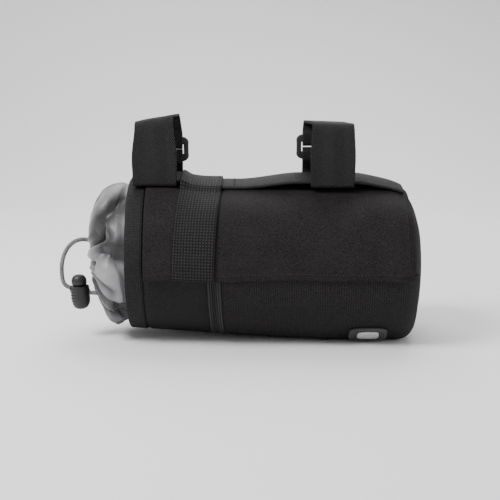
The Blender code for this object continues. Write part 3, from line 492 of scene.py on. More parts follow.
def row_normals(line):
    """Direction away from the barrel at points of (x, degrees, height)."""
    out = skin(line[:, 0], line[:, 1], line[:, 2] + 0.001) - skin(line[:, 0], line[:, 1], line[:, 2])
    return out / np.linalg.norm(out, axis=1)[:, None]


print("barrel radius at mouth and end:", [round(float(section(x)[0]) * MM, 1) for x in (MOUTH_X, TIP_X)])

# %% [markdown]
# ## Seams
# Every layer is held by lock stitch: short runs of bonded thread, 2.6 mm apart, that sink a little into
# the cloth at each end. One small spindle is repeated along a line, as arrays, so a seam is one mesh.

# %% Bonded thread and stitches
thread, tree, _ = new_finish("bonded_nylon_thread", 0.50, Specular_IOR_Level=0.2)
_, along, round_it = cloth_axes(tree)
twist = waves(tree, maths(tree, "ADD", along, round_it), 0.5)
finish_cloth(thread, twist, 0.05, ("#211f20", "#383637"), twist, wear_scale=0.004, wear=0.5)

STITCH_PITCH = 0.0026
STITCH_LENGTH = 0.0020
THREAD_RADIUS = 0.00028


def stitches(name, line, normals, finish=thread, slot="webbing"):
    """Spindles along a line: each ring of a spindle is as wide as the sine of its place, and the whole
    is turned to the line's direction and the cloth's normal there."""
    length = np.concatenate([[0.0], np.cumsum(np.linalg.norm(np.diff(line, axis=0), axis=1))])
    marks = np.arange(STITCH_PITCH / 2, length[-1], STITCH_PITCH)
    if len(marks) < 2:
        marks = np.array([length[-1] / 2])

    def at(places, values):
        return np.stack([np.interp(places, length, values[:, k]) for k in range(3)], axis=1)

    centre, out = at(marks, line), at(marks, normals)
    ahead = at(marks + STITCH_PITCH * 0.3, line) - at(marks - STITCH_PITCH * 0.3, line)
    ahead /= np.linalg.norm(ahead, axis=1)[:, None]
    side = np.cross(ahead, out)
    side /= np.linalg.norm(side, axis=1)[:, None]
    rings, steps = 5, 6        # of one spindle
    reach = np.linspace(-0.5, 0.5, rings)
    wide = THREAD_RADIUS * (0.25 + 0.75 * np.cos(reach * math.pi))
    turn = np.linspace(0.0, 2 * math.pi, steps, endpoint=False)
    one = np.stack([np.repeat(reach * STITCH_LENGTH, steps), (wide[:, None] * np.cos(turn)).ravel(),
                    (wide[:, None] * np.sin(turn)).ravel()], axis=1)
    points = (centre[:, None] + ahead[:, None] * one[None, :, :1] + side[:, None] * one[None, :, 1:2]
              + out[:, None] * (one[None, :, 2:] + THREAD_RADIUS * 0.4)).reshape(-1, 3)
    i, j = (a.ravel() for a in np.meshgrid(np.arange(rings - 1), np.arange(steps), indexing="ij"))
    quads = np.stack([i * steps + j, (i + 1) * steps + j, (i + 1) * steps + (j + 1) % steps,
                      i * steps + (j + 1) % steps], axis=1)
    ends = np.array([np.arange(steps), (rings - 1) * steps + np.arange(steps)[::-1]])
    starts = np.arange(len(marks)) * len(one)
    faces = (quads[None] + starts[:, None, None]).reshape(-1, 4).tolist()
    faces += (ends[None] + starts[:, None, None]).reshape(-1, steps).tolist()
    mesh = bpy.data.meshes.new(name)
    mesh.from_pydata(points.tolist(), [], faces)
    cloth_map = mesh.uv_layers.new(name="cloth")
    corner = np.zeros(len(mesh.loops), dtype=np.int32)
    mesh.loops.foreach_get("vertex_index", corner)
    flat = one[corner % len(one)] * MM
    cloth_map.data.foreach_set("uv", np.ascontiguousarray(flat[:, :2], dtype=np.float32).ravel())
    mesh.shade_smooth()
    mesh.materials.append(finish)
    piece = bpy.data.objects.new(name, mesh)
    looks.objects.link(piece)
    return ride(piece, slot)


def seam(name, x, degrees, height, slot="webbing"):
    """Stitches on a line of the barrel, given by x, angle and height."""
    line = np.stack(np.broadcast_arrays(*(np.asarray(v, dtype=float) for v in (x, degrees, height))), axis=1)
    return stitches(name, skin(line[:, 0], line[:, 1], line[:, 2]), row_normals(line), slot=slot)


# %% [markdown]
# ## The padded barrel
# The shell is coated 600-denier nylon over foam: a plain weave of dull black threads. It is a grid of
# rings that turn over the closed end and finish in a pole, with a 3 mm wall inwards.

# %% Coated nylon
barrel_nylon, tree, _ = new_finish("coated_nylon_plain_weave", 0.74, Specular_IOR_Level=0.2)
_, along, round_it = cloth_axes(tree)
# Real threads are 0.5 mm apart; a wave of 2.2 mm each way draws them 1.1 mm apart, coarse enough to show.
plain = maths(tree, "MULTIPLY", waves(tree, along, 2.2), waves(tree, round_it, 2.2))
plain = maths(tree, "ADD", maths(tree, "MULTIPLY", plain, 0.5), 0.5)
finish_cloth(barrel_nylon, plain, 0.14, ("#080808", "#201f1f"), plain, wear=0.55)

# %% Barrel
ROUND_STEPS = 160
round_degrees = np.arange(ROUND_STEPS) * 360.0 / ROUND_STEPS
end_length = shoulder_length(np.radians(round_degrees))
rows = []
for distance in np.linspace(0.0, 1.0, 70):
    x = MOUTH_X + (TIP_X - end_length - MOUTH_X) * distance
    rows.append(skin(x, round_degrees, -RIM_INSET * (1.0 - smooth(x - MOUTH_X, BINDING_WIDTH, BINDING_WIDTH + 0.002))))
for reach in np.sin(np.radians(np.linspace(2.0, 89.0, 44))) ** (2.0 / END_ROUNDNESS):
    rows.append(skin(TIP_X - end_length + end_length * reach, round_degrees, 0.0))
last = rows[-1].mean(axis=0)
for share in (0.75, 0.5, 0.25):
    rows.append(last + (rows[113] - last) * share + np.array([0.00004, 0.0, 0.0]))
barrel_shell = make_grid("barrel_cloth_shell", np.array(rows), barrel_nylon, closed=True, wall=WALL, offset=-1.0,
                         pole=last + np.array([0.00006, 0.0, 0.0]))
ride(barrel_shell, "barrel_cloth", "body_shell")
print("barrel:", len(rows), "rings of", ROUND_STEPS)

# %% [markdown]
# ## Binding round the mouth
# The raw edge of the mouth is folded into grosgrain tape, whose ribs run across it. Its profile is a line
# that goes up the outside, over the rim in an arc and down the inside, carried round the mouth.

# %% Grosgrain tape
grosgrain, tree, _ = new_finish("grosgrain_tape", 0.70, Specular_IOR_Level=0.2)
_, along, round_it = cloth_axes(tree)
# Ribs and the threads across them, both 1.5 mm apart: real ones are about 1 mm apart.
ribs = maths(tree, "MULTIPLY", waves(tree, round_it, 1.5), 0.6)
ribs = maths(tree, "ADD", ribs, maths(tree, "MULTIPLY", waves(tree, along, 1.5), 0.4))
ribs = maths(tree, "ADD", maths(tree, "MULTIPLY", ribs, 0.5), 0.5)
finish_cloth(grosgrain, ribs, 0.20, ("#080808", "#252424"), ribs, wear=0.35)

# %% Rim binding
half = CLOTH / 2
leg = np.linspace(0.0, 1.0, 16)
outer = list(zip(MOUTH_X + BINDING_WIDTH - (BINDING_WIDTH - 0.0010) * leg,
                 -half - 0.00025 * (1 - smooth(leg, 0.0, 0.15))))
edge_x = MOUTH_X - GAP - half
corner = [(edge_x + 0.0010 - 0.0010 * math.sin(a), -half - 0.0010 * (1 - math.cos(a)))
          for a in np.radians(np.linspace(5, 90, 6))]
inner = [(edge_x, low) for low in np.linspace(-half - 0.0012, -RIM_INSET - WALL, 5)]
binding_rows = np.array([skin(x, np.arange(200) * 1.8, high) for x, high in outer + corner + inner])
binding = make_grid("rim_binding_tape", binding_rows, grosgrain, closed=True, wall=CLOTH)
ride(binding, "webbing", "rim_binding")
seam("stitches_rim_binding", MOUTH_X + BINDING_WIDTH - 0.0022, np.linspace(0.0, 360.0, 240), 0.0)
print("binding:", len(binding_rows), "rows round the mouth")

# %% [markdown]
# ## The gathered collar
# The collar is a sleeve of grey ripstop, a thin satin nylon. Drawn shut, it bulges over the rim and falls
# into folds. Its outline is a smooth curve through a few rows; each fold is a valley or a ridge that runs
# between two places of the sleeve, wider and deeper as the photograph shows it, and a ripple gathers the
# cloth at the hem.

# %% Satin ripstop nylon
satin, tree, shader = new_finish("satin_ripstop_nylon", 0.44, Sheen_Weight=0.25, Sheen_Roughness=0.4)
_, along, round_it = cloth_axes(tree)
# Ripstop has a thicker thread every 5 mm; the ground weave is too fine to see.
ground = maths(tree, "MULTIPLY", waves(tree, along, 1.2), waves(tree, round_it, 1.2))
thick_along = maths(tree, "POWER", maths(tree, "ABSOLUTE", waves(tree, along, 10.0)), 40.0)
thick_round = maths(tree, "POWER", maths(tree, "ABSOLUTE", waves(tree, round_it, 10.0)), 40.0)
weave = maths(tree, "ADD", maths(tree, "MULTIPLY", ground, 0.25), maths(tree, "MAXIMUM", thick_along, thick_round))
creases = add(tree, "TexNoise", {"Vector": add(tree, "TexCoord").outputs["Object"], "Scale": 110.0, "Detail": 4.0,
                                 "Roughness": 0.62, "Distortion": 0.8}).outputs["Fac"]
height = maths(tree, "ADD", maths(tree, "MULTIPLY", weave, 0.06), creases)
# Painted shading: the piece carries a value from 0, painted shade in a deep fold or on the underside, to 1, a painted
# highlight on a ridge. The fine crease noise adds a little painted shade in the small creases.
fold_painted_shading = add(tree, "Attribute", attribute_name="painted_shading").outputs["Fac"]
painted_shading_here = maths(tree, "ADD", fold_painted_shading, maths(tree, "MULTIPLY", maths(tree, "SUBTRACT", creases, 0.5), 0.35))
# The ramp turns the painted shading into grey: dark where shade is painted, light where a highlight is painted.
tree.links.new(ramp(tree, painted_shading_here, (0.0, "#1f1e20"), (0.30, "#4a494b"), (0.62, "#737274"), (1.0, "#969597")),
               shader.inputs["Base Color"])
bump = add(tree, "Bump", {"Height": height, "Strength": 1.0, "Distance": 0.55 / MM})
tree.links.new(bump.outputs["Normal"], shader.inputs["Normal"])

# %% Collar
COLLAR_REACH = 0.0357
COLLAR_RADIUS = MOUTH_RADIUS - RIM_INSET - WALL - 2 * GAP - CLOTH / 2
COLLAR_SAG = 0.0050
HEM_RADIUS = 0.0022
GATHERS = 14
GATHER_DEPTH = 0.0011
FOLD_STRENGTH = 1.45

# From seam to hem: reach as a share of COLLAR_REACH and radius of COLLAR_RADIUS, over the top and below
OUTLINE = {
    "top_reach": (-0.30, 0.07, 0.26, 0.53, 0.80, 0.95, 1.00, 0.94),
    "top_radius": (1.000, 1.000, 1.055, 1.045, 0.950, 0.770, 0.540, 0.350),
    "low_reach": (-0.30, 0.07, 0.22, 0.41, 0.58, 0.74, 0.87, 0.88),
    "low_radius": (1.000, 1.000, 1.060, 1.055, 0.890, 0.660, 0.470, 0.350),
}

# Folds that show from the front. Columns: place along the sleeve and angle at each end, half-widths in
# degrees above and below, depth in mm (a ridge is negative), and how softly each end starts
FOLDS = (
    ("diagonal", 0.02, 33.0, 0.80, 57.0, 6.0, 11.0, 5.2, 0.10),
    ("cord_slit", 0.52, 56.0, 0.80, 61.0, 3.0, 3.5, 5.5, 0.07),
    ("lobe_dimple", 0.52, 16.0, 0.80, 19.0, 4.0, 6.0, 2.2, 0.10),
    ("under_slit", 0.30, 67.0, 0.70, 66.0, 4.5, 3.0, 3.2, 0.12),
    ("tip_ridge", 0.22, 69.0, 0.88, 75.0, 3.5, 4.0, -1.5, 0.14),
    ("wedge", 0.02, 87.0, 0.62, 78.0, 8.0, 5.0, 5.6, 0.10),
    ("hole", 0.64, 89.0, 0.80, 91.0, 3.5, 4.0, 5.0, 0.05),
    ("light_lobe", 0.15, 104.0, 0.60, 100.0, 9.0, 8.0, -1.2, 0.20),
    ("crease", 0.30, 112.0, 0.80, 101.0, 2.5, 5.0, 4.0, 0.10),
    ("low_lobe", 0.10, 119.0, 0.60, 117.0, 6.0, 5.0, -1.6, 0.15),
    ("lobe_edge", 0.00, 131.0, 0.86, 114.0, 2.5, 6.0, 4.6, 0.10),
    ("glossy_a", 0.00, 139.0, 0.70, 136.0, 2.0, 2.5, 3.0, 0.12),
    ("thin_ridge_a", 0.00, 143.0, 0.72, 141.0, 1.6, 1.6, -1.6, 0.12),
    ("glossy_b", 0.00, 148.0, 0.66, 147.0, 2.2, 2.2, 3.0, 0.12),
    ("thin_ridge_b", 0.00, 152.5, 0.60, 152.0, 1.6, 1.6, -1.4, 0.12),
    ("glossy_c", 0.00, 158.0, 0.60, 158.0, 3.0, 3.0, 3.0, 0.12),
    ("under_a", 0.00, 171.0, 0.90, 174.0, 4.0, 5.0, 3.2, 0.15),
    ("under_b", 0.00, 190.0, 0.90, 188.0, 6.0, 5.0, 3.6, 0.15),
    ("rear_a", 0.05, 214.0, 0.92, 207.0, 8.0, 7.0, 4.8, 0.15),
    ("rear_ridge", 0.10, 229.0, 0.80, 224.0, 6.0, 6.0, -2.2, 0.15),
    ("rear_b", 0.02, 246.0, 0.90, 243.0, 9.0, 6.0, 5.2, 0.12),
    ("rear_c", 0.05, 268.0, 0.75, 262.0, 4.0, 4.0, 2.8, 0.15),
    ("rear_d", 0.02, 284.0, 0.92, 289.0, 8.0, 8.0, 5.0, 0.12),
    ("rear_e", 0.10, 304.0, 0.80, 302.0, 4.0, 5.0, 2.4, 0.15),
    ("rear_f", 0.02, 320.0, 0.94, 322.0, 8.0, 9.0, 5.2, 0.12),
    ("top_a", 0.30, 345.0, 0.95, 341.0, 5.0, 5.0, 3.0, 0.15),
    ("top_b", 0.35, 3.0, 0.96, 1.0, 5.0, 4.0, 2.4, 0.15),
)


def through_rows(at, column):
    """Smooth curve through one row of the outline, evenly spaced from 0 to 1."""
    values = np.array(OUTLINE[column])
    values = np.concatenate([[2 * values[0] - values[1]], values, [2 * values[-1] - values[-2]]])
    place = np.clip(at, 0.0, 1.0) * (len(OUTLINE[column]) - 1)
    span = np.minimum(place.astype(int), len(OUTLINE[column]) - 2)
    t = place - span
    a, b, c, d = (values[span + k] for k in range(4))
    return b + 0.5 * t * (c - a + t * (2 * a - 5 * b + 4 * c - d + t * (3 * (b - c) + d - a)))


def collar_surface(along, degrees):
    """Points of the collar from seam (0) to hem (1), and a painted shading for each. The outline blends from top to
    underside by the cosine, and each fold presses it in along its normal by a bell whose two flanks differ. Each fold
    also paints shade by its depth (a ridge, a highlight), and the underside is painted darker as shade."""
    along, degrees = np.broadcast_arrays(np.asarray(along, dtype=float), np.asarray(degrees, dtype=float))
    low = (1.0 - np.cos(np.radians(degrees))) / 2

    def outline(at):
        reach = through_rows(at, "top_reach") * (1 - low) + through_rows(at, "low_reach") * low
        radius = through_rows(at, "top_radius") * (1 - low) + through_rows(at, "low_radius") * low
        return reach * COLLAR_REACH, radius * COLLAR_RADIUS

    reach, radius = outline(along)
    step = 0.01
    reach_after, radius_after = outline(np.minimum(along + step, 1.0))
    reach_before, radius_before = outline(np.maximum(along - step, 0.0))
    run = np.hypot(reach_after - reach_before, radius_after - radius_before)
    press = np.zeros_like(reach)
    # dark sums painted shade in each fold, set a little above its middle on the flank that faces down, and painted
    # highlight on each ridge, whose depth is negative.
    dark = np.zeros_like(reach)
    for _, a0, d0, a1, d1, above, below, depth, soft in FOLDS:
        middle = d0 + (d1 - d0) * (along - a0) / (a1 - a0)
        middle = middle + 1.2 * np.sin(along * 11.0 + d0)
        away = (degrees - middle + 180.0) % 360.0 - 180.0
        width = np.where(away < 0.0, above, below) * (1.0 + 0.5 * (1.0 - along))
        there = smooth(along, a0 - soft, a0 + soft) * (1.0 - smooth(along, a1 - soft, a1 + soft))
        press += depth / MM * bell(away, width) * there
        dark += depth * bell(away + 0.5 * above, width * 0.9) * there
    strength = FOLD_STRENGTH * smooth(along, 0.08, 0.26) * (1.0 - 0.40 * smooth(along, 0.80, 1.0))
    ripple = GATHER_DEPTH * np.cos(np.radians(degrees * GATHERS + 60.0)) * smooth(along, 0.55, 1.0)
    fine = 0.00045 * np.sin(np.radians(degrees * 37.0) + 9.0 * along) * smooth(along, 0.35, 0.95)
    height = ripple + fine - press * strength
    reach = reach + (radius_before - radius_after) / run * height
    radius = radius + (reach_after - reach_before) / run * height
    angle = np.radians(degrees)
    centre = MOUTH_Z - COLLAR_SAG * smooth(along, 0.15, 1.0)
    points = np.stack([MOUTH_X - reach, AXIS_Y - radius * np.sin(angle), centre + radius * np.cos(angle)], axis=-1)
    # under is painted shade on the underside of the collar, which faces the floor, away from the lights.
    under = smooth(degrees + 20.0 * along, 128.0, 140.0) * (1.0 - smooth(degrees, 200.0, 225.0))
    return points, 0.64 - 0.17 * dark - 0.36 * under


along_rows = np.linspace(0.0, 1.0, 120)[:, None]
collar_degrees = np.arange(360.0)[None, :]
collar_points, collar_painted_shading = collar_surface(along_rows, collar_degrees)
collar = make_grid("collar_satin", collar_points, satin, closed=True, wall=0.0007, painted_shading=collar_painted_shading,
                   even=False)
ride(collar, "collar_cloth", "collar")

# %% Hem of the collar
hem_degrees = np.arange(180) * 2.0
edge, _ = collar_surface(1.0, hem_degrees)
leaving = edge - collar_surface(0.96, hem_degrees)[0]
leaving /= np.linalg.norm(leaving, axis=1)[:, None]
hem_line = edge + leaving * HEM_RADIUS
hem_width = HEM_RADIUS * (1.0 + 0.10 * np.cos(np.radians(hem_degrees * 36.0)))
# The hem is given an even middle level of painted shading.
hem = make_grid("collar_hem_tunnel", tube_points(hem_line, hem_width, 20, closed=True), satin, closed=True,
                looped=True, painted_shading=0.45)
ride(hem, "collar_cloth", "collar_hem")
print("collar:", len(along_rows) * 360, "points")

# %% [markdown]
# ## The front flap and the mesh pocket
# The flap is brushed nylon, a little browner than the barrel, with a turned hem on its lower and end
# edges. The pocket below is ribbed spacer mesh. Its open left edge is held by an elastic tape with five
# cords in it. They are grids on the barrel's skin, each a layer higher where it lies over another.

# %% Brushed nylon
brushed_nylon, tree, _ = new_finish("brushed_nylon", 0.80, Specular_IOR_Level=0.2)
place, along, round_it = cloth_axes(tree)
# The nap hides the weave, so only a faint 1.3 mm grid and short fibres show.
fibres = add(tree, "TexNoise", {"Vector": add(tree, "Mapping", {"Vector": place, "Scale": (0.35, 1.4, 1.0)}).outputs[0],
                                "Scale": 1.6, "Detail": 3.0}).outputs["Fac"]
nap = maths(tree, "ADD", maths(tree, "MULTIPLY", maths(tree, "MULTIPLY", waves(tree, along, 2.6),
                                                       waves(tree, round_it, 2.6)), 0.22), fibres)
finish_cloth(brushed_nylon, nap, 0.10, ("#090808", "#242122"), nap, wear=0.5)

# %% Front flap
FLAP_TOP, FLAP_BOTTOM, FLAP_END = -12.5, 94.3, 0.2320
FLAP_LEFT_DROP = 3.8       # its left half hangs lower, in degrees
FLAP_CORNER_DROP, FLAP_FROM_TAPE = 2.2, 0.0010
POCKET_TOP, POCKET_BOTTOM, POCKET_END = 92.0, 152.0, 0.2375


def flap_base(degrees):
    """Height of the flap's underside: on the barrel above, over the pocket at its lower edge."""
    return GAP + (CLOTH + GAP) * smooth(degrees, POCKET_TOP - 14.0, POCKET_TOP - 3.0)


def flap_bottom(x):
    """Angle of the flap's lower edge, which hangs lower on the left and drops again beside the binding."""
    return (FLAP_BOTTOM + FLAP_LEFT_DROP * (1.0 - smooth(x - MOUTH_X, 0.060, 0.150))
            + FLAP_CORNER_DROP * (1.0 - smooth(x - MOUTH_X, BINDING_WIDTH, BINDING_WIDTH + 0.030)))


def flap_height(x, degrees):
    """Middle of the flap's cloth: its base, a proud hem, and the free corner that stands off the end."""
    hem = 0.00045 * (smooth(degrees, flap_bottom(x) - 5.5, flap_bottom(x) - 4.6)
                     + smooth(x - MOUTH_X, FLAP_END - 0.0062, FLAP_END - 0.0052)).clip(0, 1)
    standing = 0.0042 * smooth(x - MOUTH_X, FLAP_END - 0.030, FLAP_END) * bell(degrees - 82.0, 22.0)
    return flap_base(degrees) + CLOTH / 2 + hem + standing


flap_x = (MOUTH_X + np.linspace(BINDING_WIDTH + FLAP_FROM_TAPE, FLAP_END, 170))[:, None]
flap_share = np.linspace(0.0, 1.0, 120)[None, :]
flap_degrees = FLAP_TOP + (flap_bottom(flap_x) - FLAP_TOP) * flap_share
flap = make_grid("front_flap_nylon", skin(flap_x, flap_degrees, flap_height(flap_x, flap_degrees)), brushed_nylon,
                 wall=CLOTH)
ride(flap, "flap_cloth", "front_flap")
line_x = np.linspace(MOUTH_X + BINDING_WIDTH + 0.002, MOUTH_X + FLAP_END - 0.004, 160)
line_degrees = flap_bottom(line_x) - 4.2
seam("stitches_flap_hem", line_x, line_degrees, flap_height(line_x, line_degrees) + CLOTH / 2, slot="flap_cloth")
end_degrees = np.linspace(24.0, FLAP_BOTTOM - 4.2, 90)
end_x = np.full(90, MOUTH_X + FLAP_END - 0.0046)
seam("stitches_flap_end", end_x, end_degrees, flap_height(end_x, end_degrees) + CLOTH / 2, slot="flap_cloth")
print("flap:", flap_x.size * flap_share.size, "points")

# %% Ribbed spacer mesh
spacer_mesh, tree, _ = new_finish("ribbed_spacer_mesh", 0.78, Specular_IOR_Level=0.2)
_, along, round_it = cloth_axes(tree)
# Upright ribs 1.9 mm apart with a hole between each pair of cross threads, as drawn 1.7 mm apart.
upright = maths(tree, "ADD", maths(tree, "MULTIPLY", waves(tree, along, 1.9), 0.5), 0.5)
cross = maths(tree, "ADD", maths(tree, "MULTIPLY", waves(tree, round_it, 1.7), 0.5), 0.5)
ribbing = maths(tree, "MAXIMUM", upright, maths(tree, "MULTIPLY", cross, 0.8))
finish_cloth(spacer_mesh, ribbing, 0.45, ("#040404", "#232122"), ribbing, wear=0.12)

# %% Mesh pocket
TAPE_WIDTH, TAPE_START, TAPE_LEAN = 0.0112, 0.0650, 0.0030


def tape_edge(degrees):
    """The tape's left edge, which leans towards the closed end as it goes down."""
    return MOUTH_X + TAPE_START + TAPE_LEAN * (degrees - POCKET_TOP) / (POCKET_BOTTOM - POCKET_TOP)


pocket_degrees = np.linspace(POCKET_TOP, POCKET_BOTTOM, 80)[None, :]
pocket_start = tape_edge(pocket_degrees) + TAPE_WIDTH + GAP
pocket_share = np.linspace(0.0, 1.0, 190)[:, None]
pocket_x = pocket_start + (MOUTH_X + POCKET_END - pocket_start) * pocket_share
pocket = make_grid("mesh_pocket_panel", skin(pocket_x, pocket_degrees, GAP + CLOTH / 2), spacer_mesh, wall=CLOTH)
ride(pocket, "pocket_mesh", "mesh_pocket")

# %% Ribbed elastic
elastic, tree, _ = new_finish("ribbed_elastic_tape", 0.66, Specular_IOR_Level=0.2)
_, along, round_it = cloth_axes(tree)
# Fine ribs across it, and a light line over each of its five cords.
cross = maths(tree, "MULTIPLY", waves(tree, round_it, 0.9), 0.2)
cross = maths(tree, "ADD", cross, maths(tree, "MULTIPLY", waves(tree, along, 2.24, -1.57), 0.45))
cross = maths(tree, "ADD", cross, 0.5)
finish_cloth(elastic, cross, 0.35, ("#040404", "#333132"), cross, wear=0.10, speckle=0.5)

# %% Elastic tape with five cords
tape_share = np.linspace(0.0, 1.0, 61)[:, None]
tape_degrees = np.linspace(POCKET_TOP, POCKET_BOTTOM, 100)[None, :]
cords = 0.00070 * np.abs(np.sin(tape_share * 5 * math.pi)) ** 0.7
tape = make_grid("pocket_edge_elastic", skin(tape_edge(tape_degrees) + TAPE_WIDTH * tape_share, tape_degrees,
                                              GAP + CLOTH / 2 + cords), elastic, wall=CLOTH * 0.8)
ride(tape, "elastic", "pocket_edge_tape")
print("pocket and tape:", pocket_x.size + tape_share.size * tape_degrees.size, "points")

# %% [markdown]
# ## Webbing: the band, the upright strap and the handlebar loops
# All three are flat woven nylon. The band on top is sewn down and bows up where a loop passes under it.
# The upright strap is a coarse basket weave. The loops are herringbone tape: each goes under the band, up
# and over, and both ends turn round a bar of a plastic ring at the back.

# %% Basket-weave webbing
basket, tree, _ = new_finish("basket_weave_webbing", 0.68, Specular_IOR_Level=0.2)
_, along, round_it = cloth_axes(tree)
# Pairs of 1.2 mm yarns cross, which gives square cells 2.4 mm apart with grooves between them.
squares = maths(tree, "MINIMUM", waves(tree, along, 2.4), waves(tree, round_it, 2.4))
basket_height = maths(tree, "ADD", maths(tree, "MULTIPLY", squares, 0.5), 0.5)
finish_cloth(basket, basket_height, 0.35, ("#040404", "#302e2f"), basket_height, wear=0.10, speckle=0.7)

# %% Band along the top
BAND_THICKNESS = 0.0018
BAND_START, BAND_END = 0.0020, 0.2280
STRAP_WIDTH, STRAP_THICKNESS = 0.0355, 0.0020
STRAP_LIFT = STRAP_THICKNESS + GAP
UNDER_BAND = GAP + CLOTH + GAP
LOOP_CORNER, LOOP_REAR_CORNER, LOOP_FOOT_CORNER, LOOP_PINCH_START = 0.0060, 0.0040, 0.0018, 0.0140
LOOP_FALL = 0.0050         # top of the rear leg below the top of the front one
LOOP_SLACK = 0.0006
RING_WIDTH, RING_HEIGHT, RING_BAR, RING_END_BAR, RING_THICKNESS = 0.0460, 0.0212, 0.0072, 0.0042, 0.0034
RING_INSET, RING_PLAY, RING_EASE, RING_TAIL = 0.0023, 0.0007, 0.0020, 0.0028

LOOPS = (
    {"side": "left", "centre": 0.0213, "height": 0.0514, "ring": 0.0195, "shear": 0.0030, "rise": 0.0058,
     "pinch": 0.86, "slit": 0.00115, "bow": 0.0003, "ramp": (0.010, 0.010)},
    {"side": "right", "centre": 0.1684, "height": 0.0491, "ring": 0.0232, "shear": -0.0055, "rise": -0.0016,
     "pinch": 0.95, "slit": 0.0015, "bow": 0.0036, "ramp": (0.056, 0.040)},
)
BAND_TOP = BODY_RADIUS + UNDER_BAND + STRAP_LIFT + max(loop["bow"] for loop in LOOPS) + BAND_THICKNESS
LOOP_HALF_DEPTH = BAND_TOP * math.sin(math.radians(BAND_HALF_ANGLE)) + LOOP_SLACK + STRAP_THICKNESS / 2


def band_base(x):
    """Height of the band's underside: it rises over each loop and comes down beside it."""
    lift = np.zeros_like(x)
    for loop in LOOPS:
        middle = MOUTH_X + loop["centre"] + loop["shear"] / 2
        reach = (STRAP_WIDTH + abs(loop["shear"])) / 2 + GAP
        ramp_here = np.where(x < middle, loop["ramp"][0], loop["ramp"][1])
        over = 1.0 - smooth(np.abs(x - middle), reach, reach + ramp_here)
        lift = np.maximum(lift, (STRAP_LIFT + loop["bow"]) * over)
    return UNDER_BAND + lift


band_x = (MOUTH_X + np.linspace(BAND_START, BAND_END, 240))[:, None]
band_degrees = BAND_CENTRE + np.linspace(-BAND_HALF_ANGLE, BAND_HALF_ANGLE, 36)[None, :]
band = make_grid("top_band_webbing", skin(band_x, band_degrees, band_base(band_x) + BAND_THICKNESS / 2), grosgrain,
                 wall=BAND_THICKNESS)
ride(band, "webbing", "top_band")
line_x = np.linspace(MOUTH_X + BAND_START + 0.002, MOUTH_X + BAND_END - 0.002, 240)
for edge_name, lean in (("rear", -1), ("front", 1)):
    seam("stitches_band_" + edge_name, line_x, BAND_CENTRE + lean * (BAND_HALF_ANGLE - 1.8),
         band_base(line_x) + BAND_THICKNESS)
for loop in LOOPS:
    middle = loop["centre"] + loop["shear"] / 2
    reach = (STRAP_WIDTH + abs(loop["shear"])) / 2 + 0.002
    for end_name, end in (("left", middle - reach - loop["ramp"][0]), ("right", middle + reach + loop["ramp"][1])):
        if BAND_START + 0.003 < end < BAND_END - 0.003:
            tack_x = np.full(40, MOUTH_X + end) + 0.0008 * np.sin(np.arange(40) * 1.6)
            seam(f"stitches_tack_{loop['side']}_{end_name}", tack_x,
                 BAND_CENTRE + np.linspace(-14.0, 14.0, 40), UNDER_BAND + BAND_THICKNESS)
print("band length:", round((BAND_END - BAND_START) * MM), "mm")

# %% Upright closure strap
CLOSURE_WIDTH, CLOSURE_THICKNESS = 0.0335, 0.0018
CLOSURE_CENTRE, CLOSURE_LEAN, CLOSURE_BACK = 0.0600, -0.0055, -22.0
half_band = BAND_HALF_ANGLE + 0.5


def closure_x(share, degrees):
    """The strap leans towards the mouth as it goes down."""
    return MOUTH_X + CLOSURE_CENTRE + CLOSURE_LEAN * smooth(degrees, 0.0, FLAP_BOTTOM) + CLOSURE_WIDTH * share


def closure_base(x, degrees):
    """Height of its underside: over the band on top, and over the flap below."""
    over_band = band_base(x) + BAND_THICKNESS + GAP
    over_flap = flap_base(degrees) + CLOTH + GAP
    off_band = smooth(np.abs(degrees - BAND_CENTRE), half_band, half_band + 6.0)
    return over_flap + (over_band - over_flap) * (1.0 - off_band)


CLOSURE_END = FLAP_BOTTOM + FLAP_LEFT_DROP - 0.4
closure_degrees = np.linspace(CLOSURE_BACK, CLOSURE_END, 200)[:, None]
closure_share = np.linspace(-0.5, 0.5, 44)[None, :]
x = closure_x(closure_share, closure_degrees)
lower_turn = 0.0004 * smooth(closure_degrees, CLOSURE_END - 6.0, CLOSURE_END - 5.0)
points = skin(x, closure_degrees, closure_base(x, closure_degrees + 0.0 * x) + CLOSURE_THICKNESS / 2 + lower_turn)
closure = make_grid("closure_strap_webbing", points, basket, wall=CLOSURE_THICKNESS, flip=True)
ride(closure, "webbing", "closure_strap")
for side_name, share in (("left", -0.44), ("right", 0.44)):
    line_degrees = np.linspace(CLOSURE_BACK + 2.0, CLOSURE_END - 2.0, 200)
    line_x = closure_x(share, line_degrees)
    seam("stitches_closure_" + side_name, line_x, line_degrees,
         closure_base(line_x, line_degrees) + CLOSURE_THICKNESS)
for row_name, angle in (("low", CLOSURE_END - 1.8), ("high", CLOSURE_END - 5.2)):
    line_x = closure_x(np.linspace(-0.44, 0.44, 40), angle)
    seam("stitches_closure_" + row_name, line_x, np.full(40, angle),
         closure_base(line_x, np.full(40, angle)) + CLOSURE_THICKNESS + 0.0004)
print("closure strap:", points.shape[:2])

# %% Herringbone webbing
herringbone, tree, _ = new_finish("herringbone_webbing", 0.70, Specular_IOR_Level=0.2)
_, along, round_it = cloth_axes(tree)
# The twill lines slant one way and then the other in bands 8.9 mm wide, four across the tape. Real lines
# are 1 mm apart; they are drawn 1.9 mm apart.
zigzag = maths(tree, "PINGPONG", round_it, 8.9)
twill = waves(tree, maths(tree, "ADD", along, zigzag), 1.9)
twill = maths(tree, "ADD", maths(tree, "MULTIPLY", twill, 0.4),
              maths(tree, "MULTIPLY",
                    maths(tree, "MULTIPLY", waves(tree, along, 1.3), waves(tree, round_it, 1.3)), 0.2))
twill = maths(tree, "ADD", twill, 0.5)
finish_cloth(herringbone, twill, 0.45, ("#030303", "#312f30"), twill, wear=0.10, speckle=0.7)


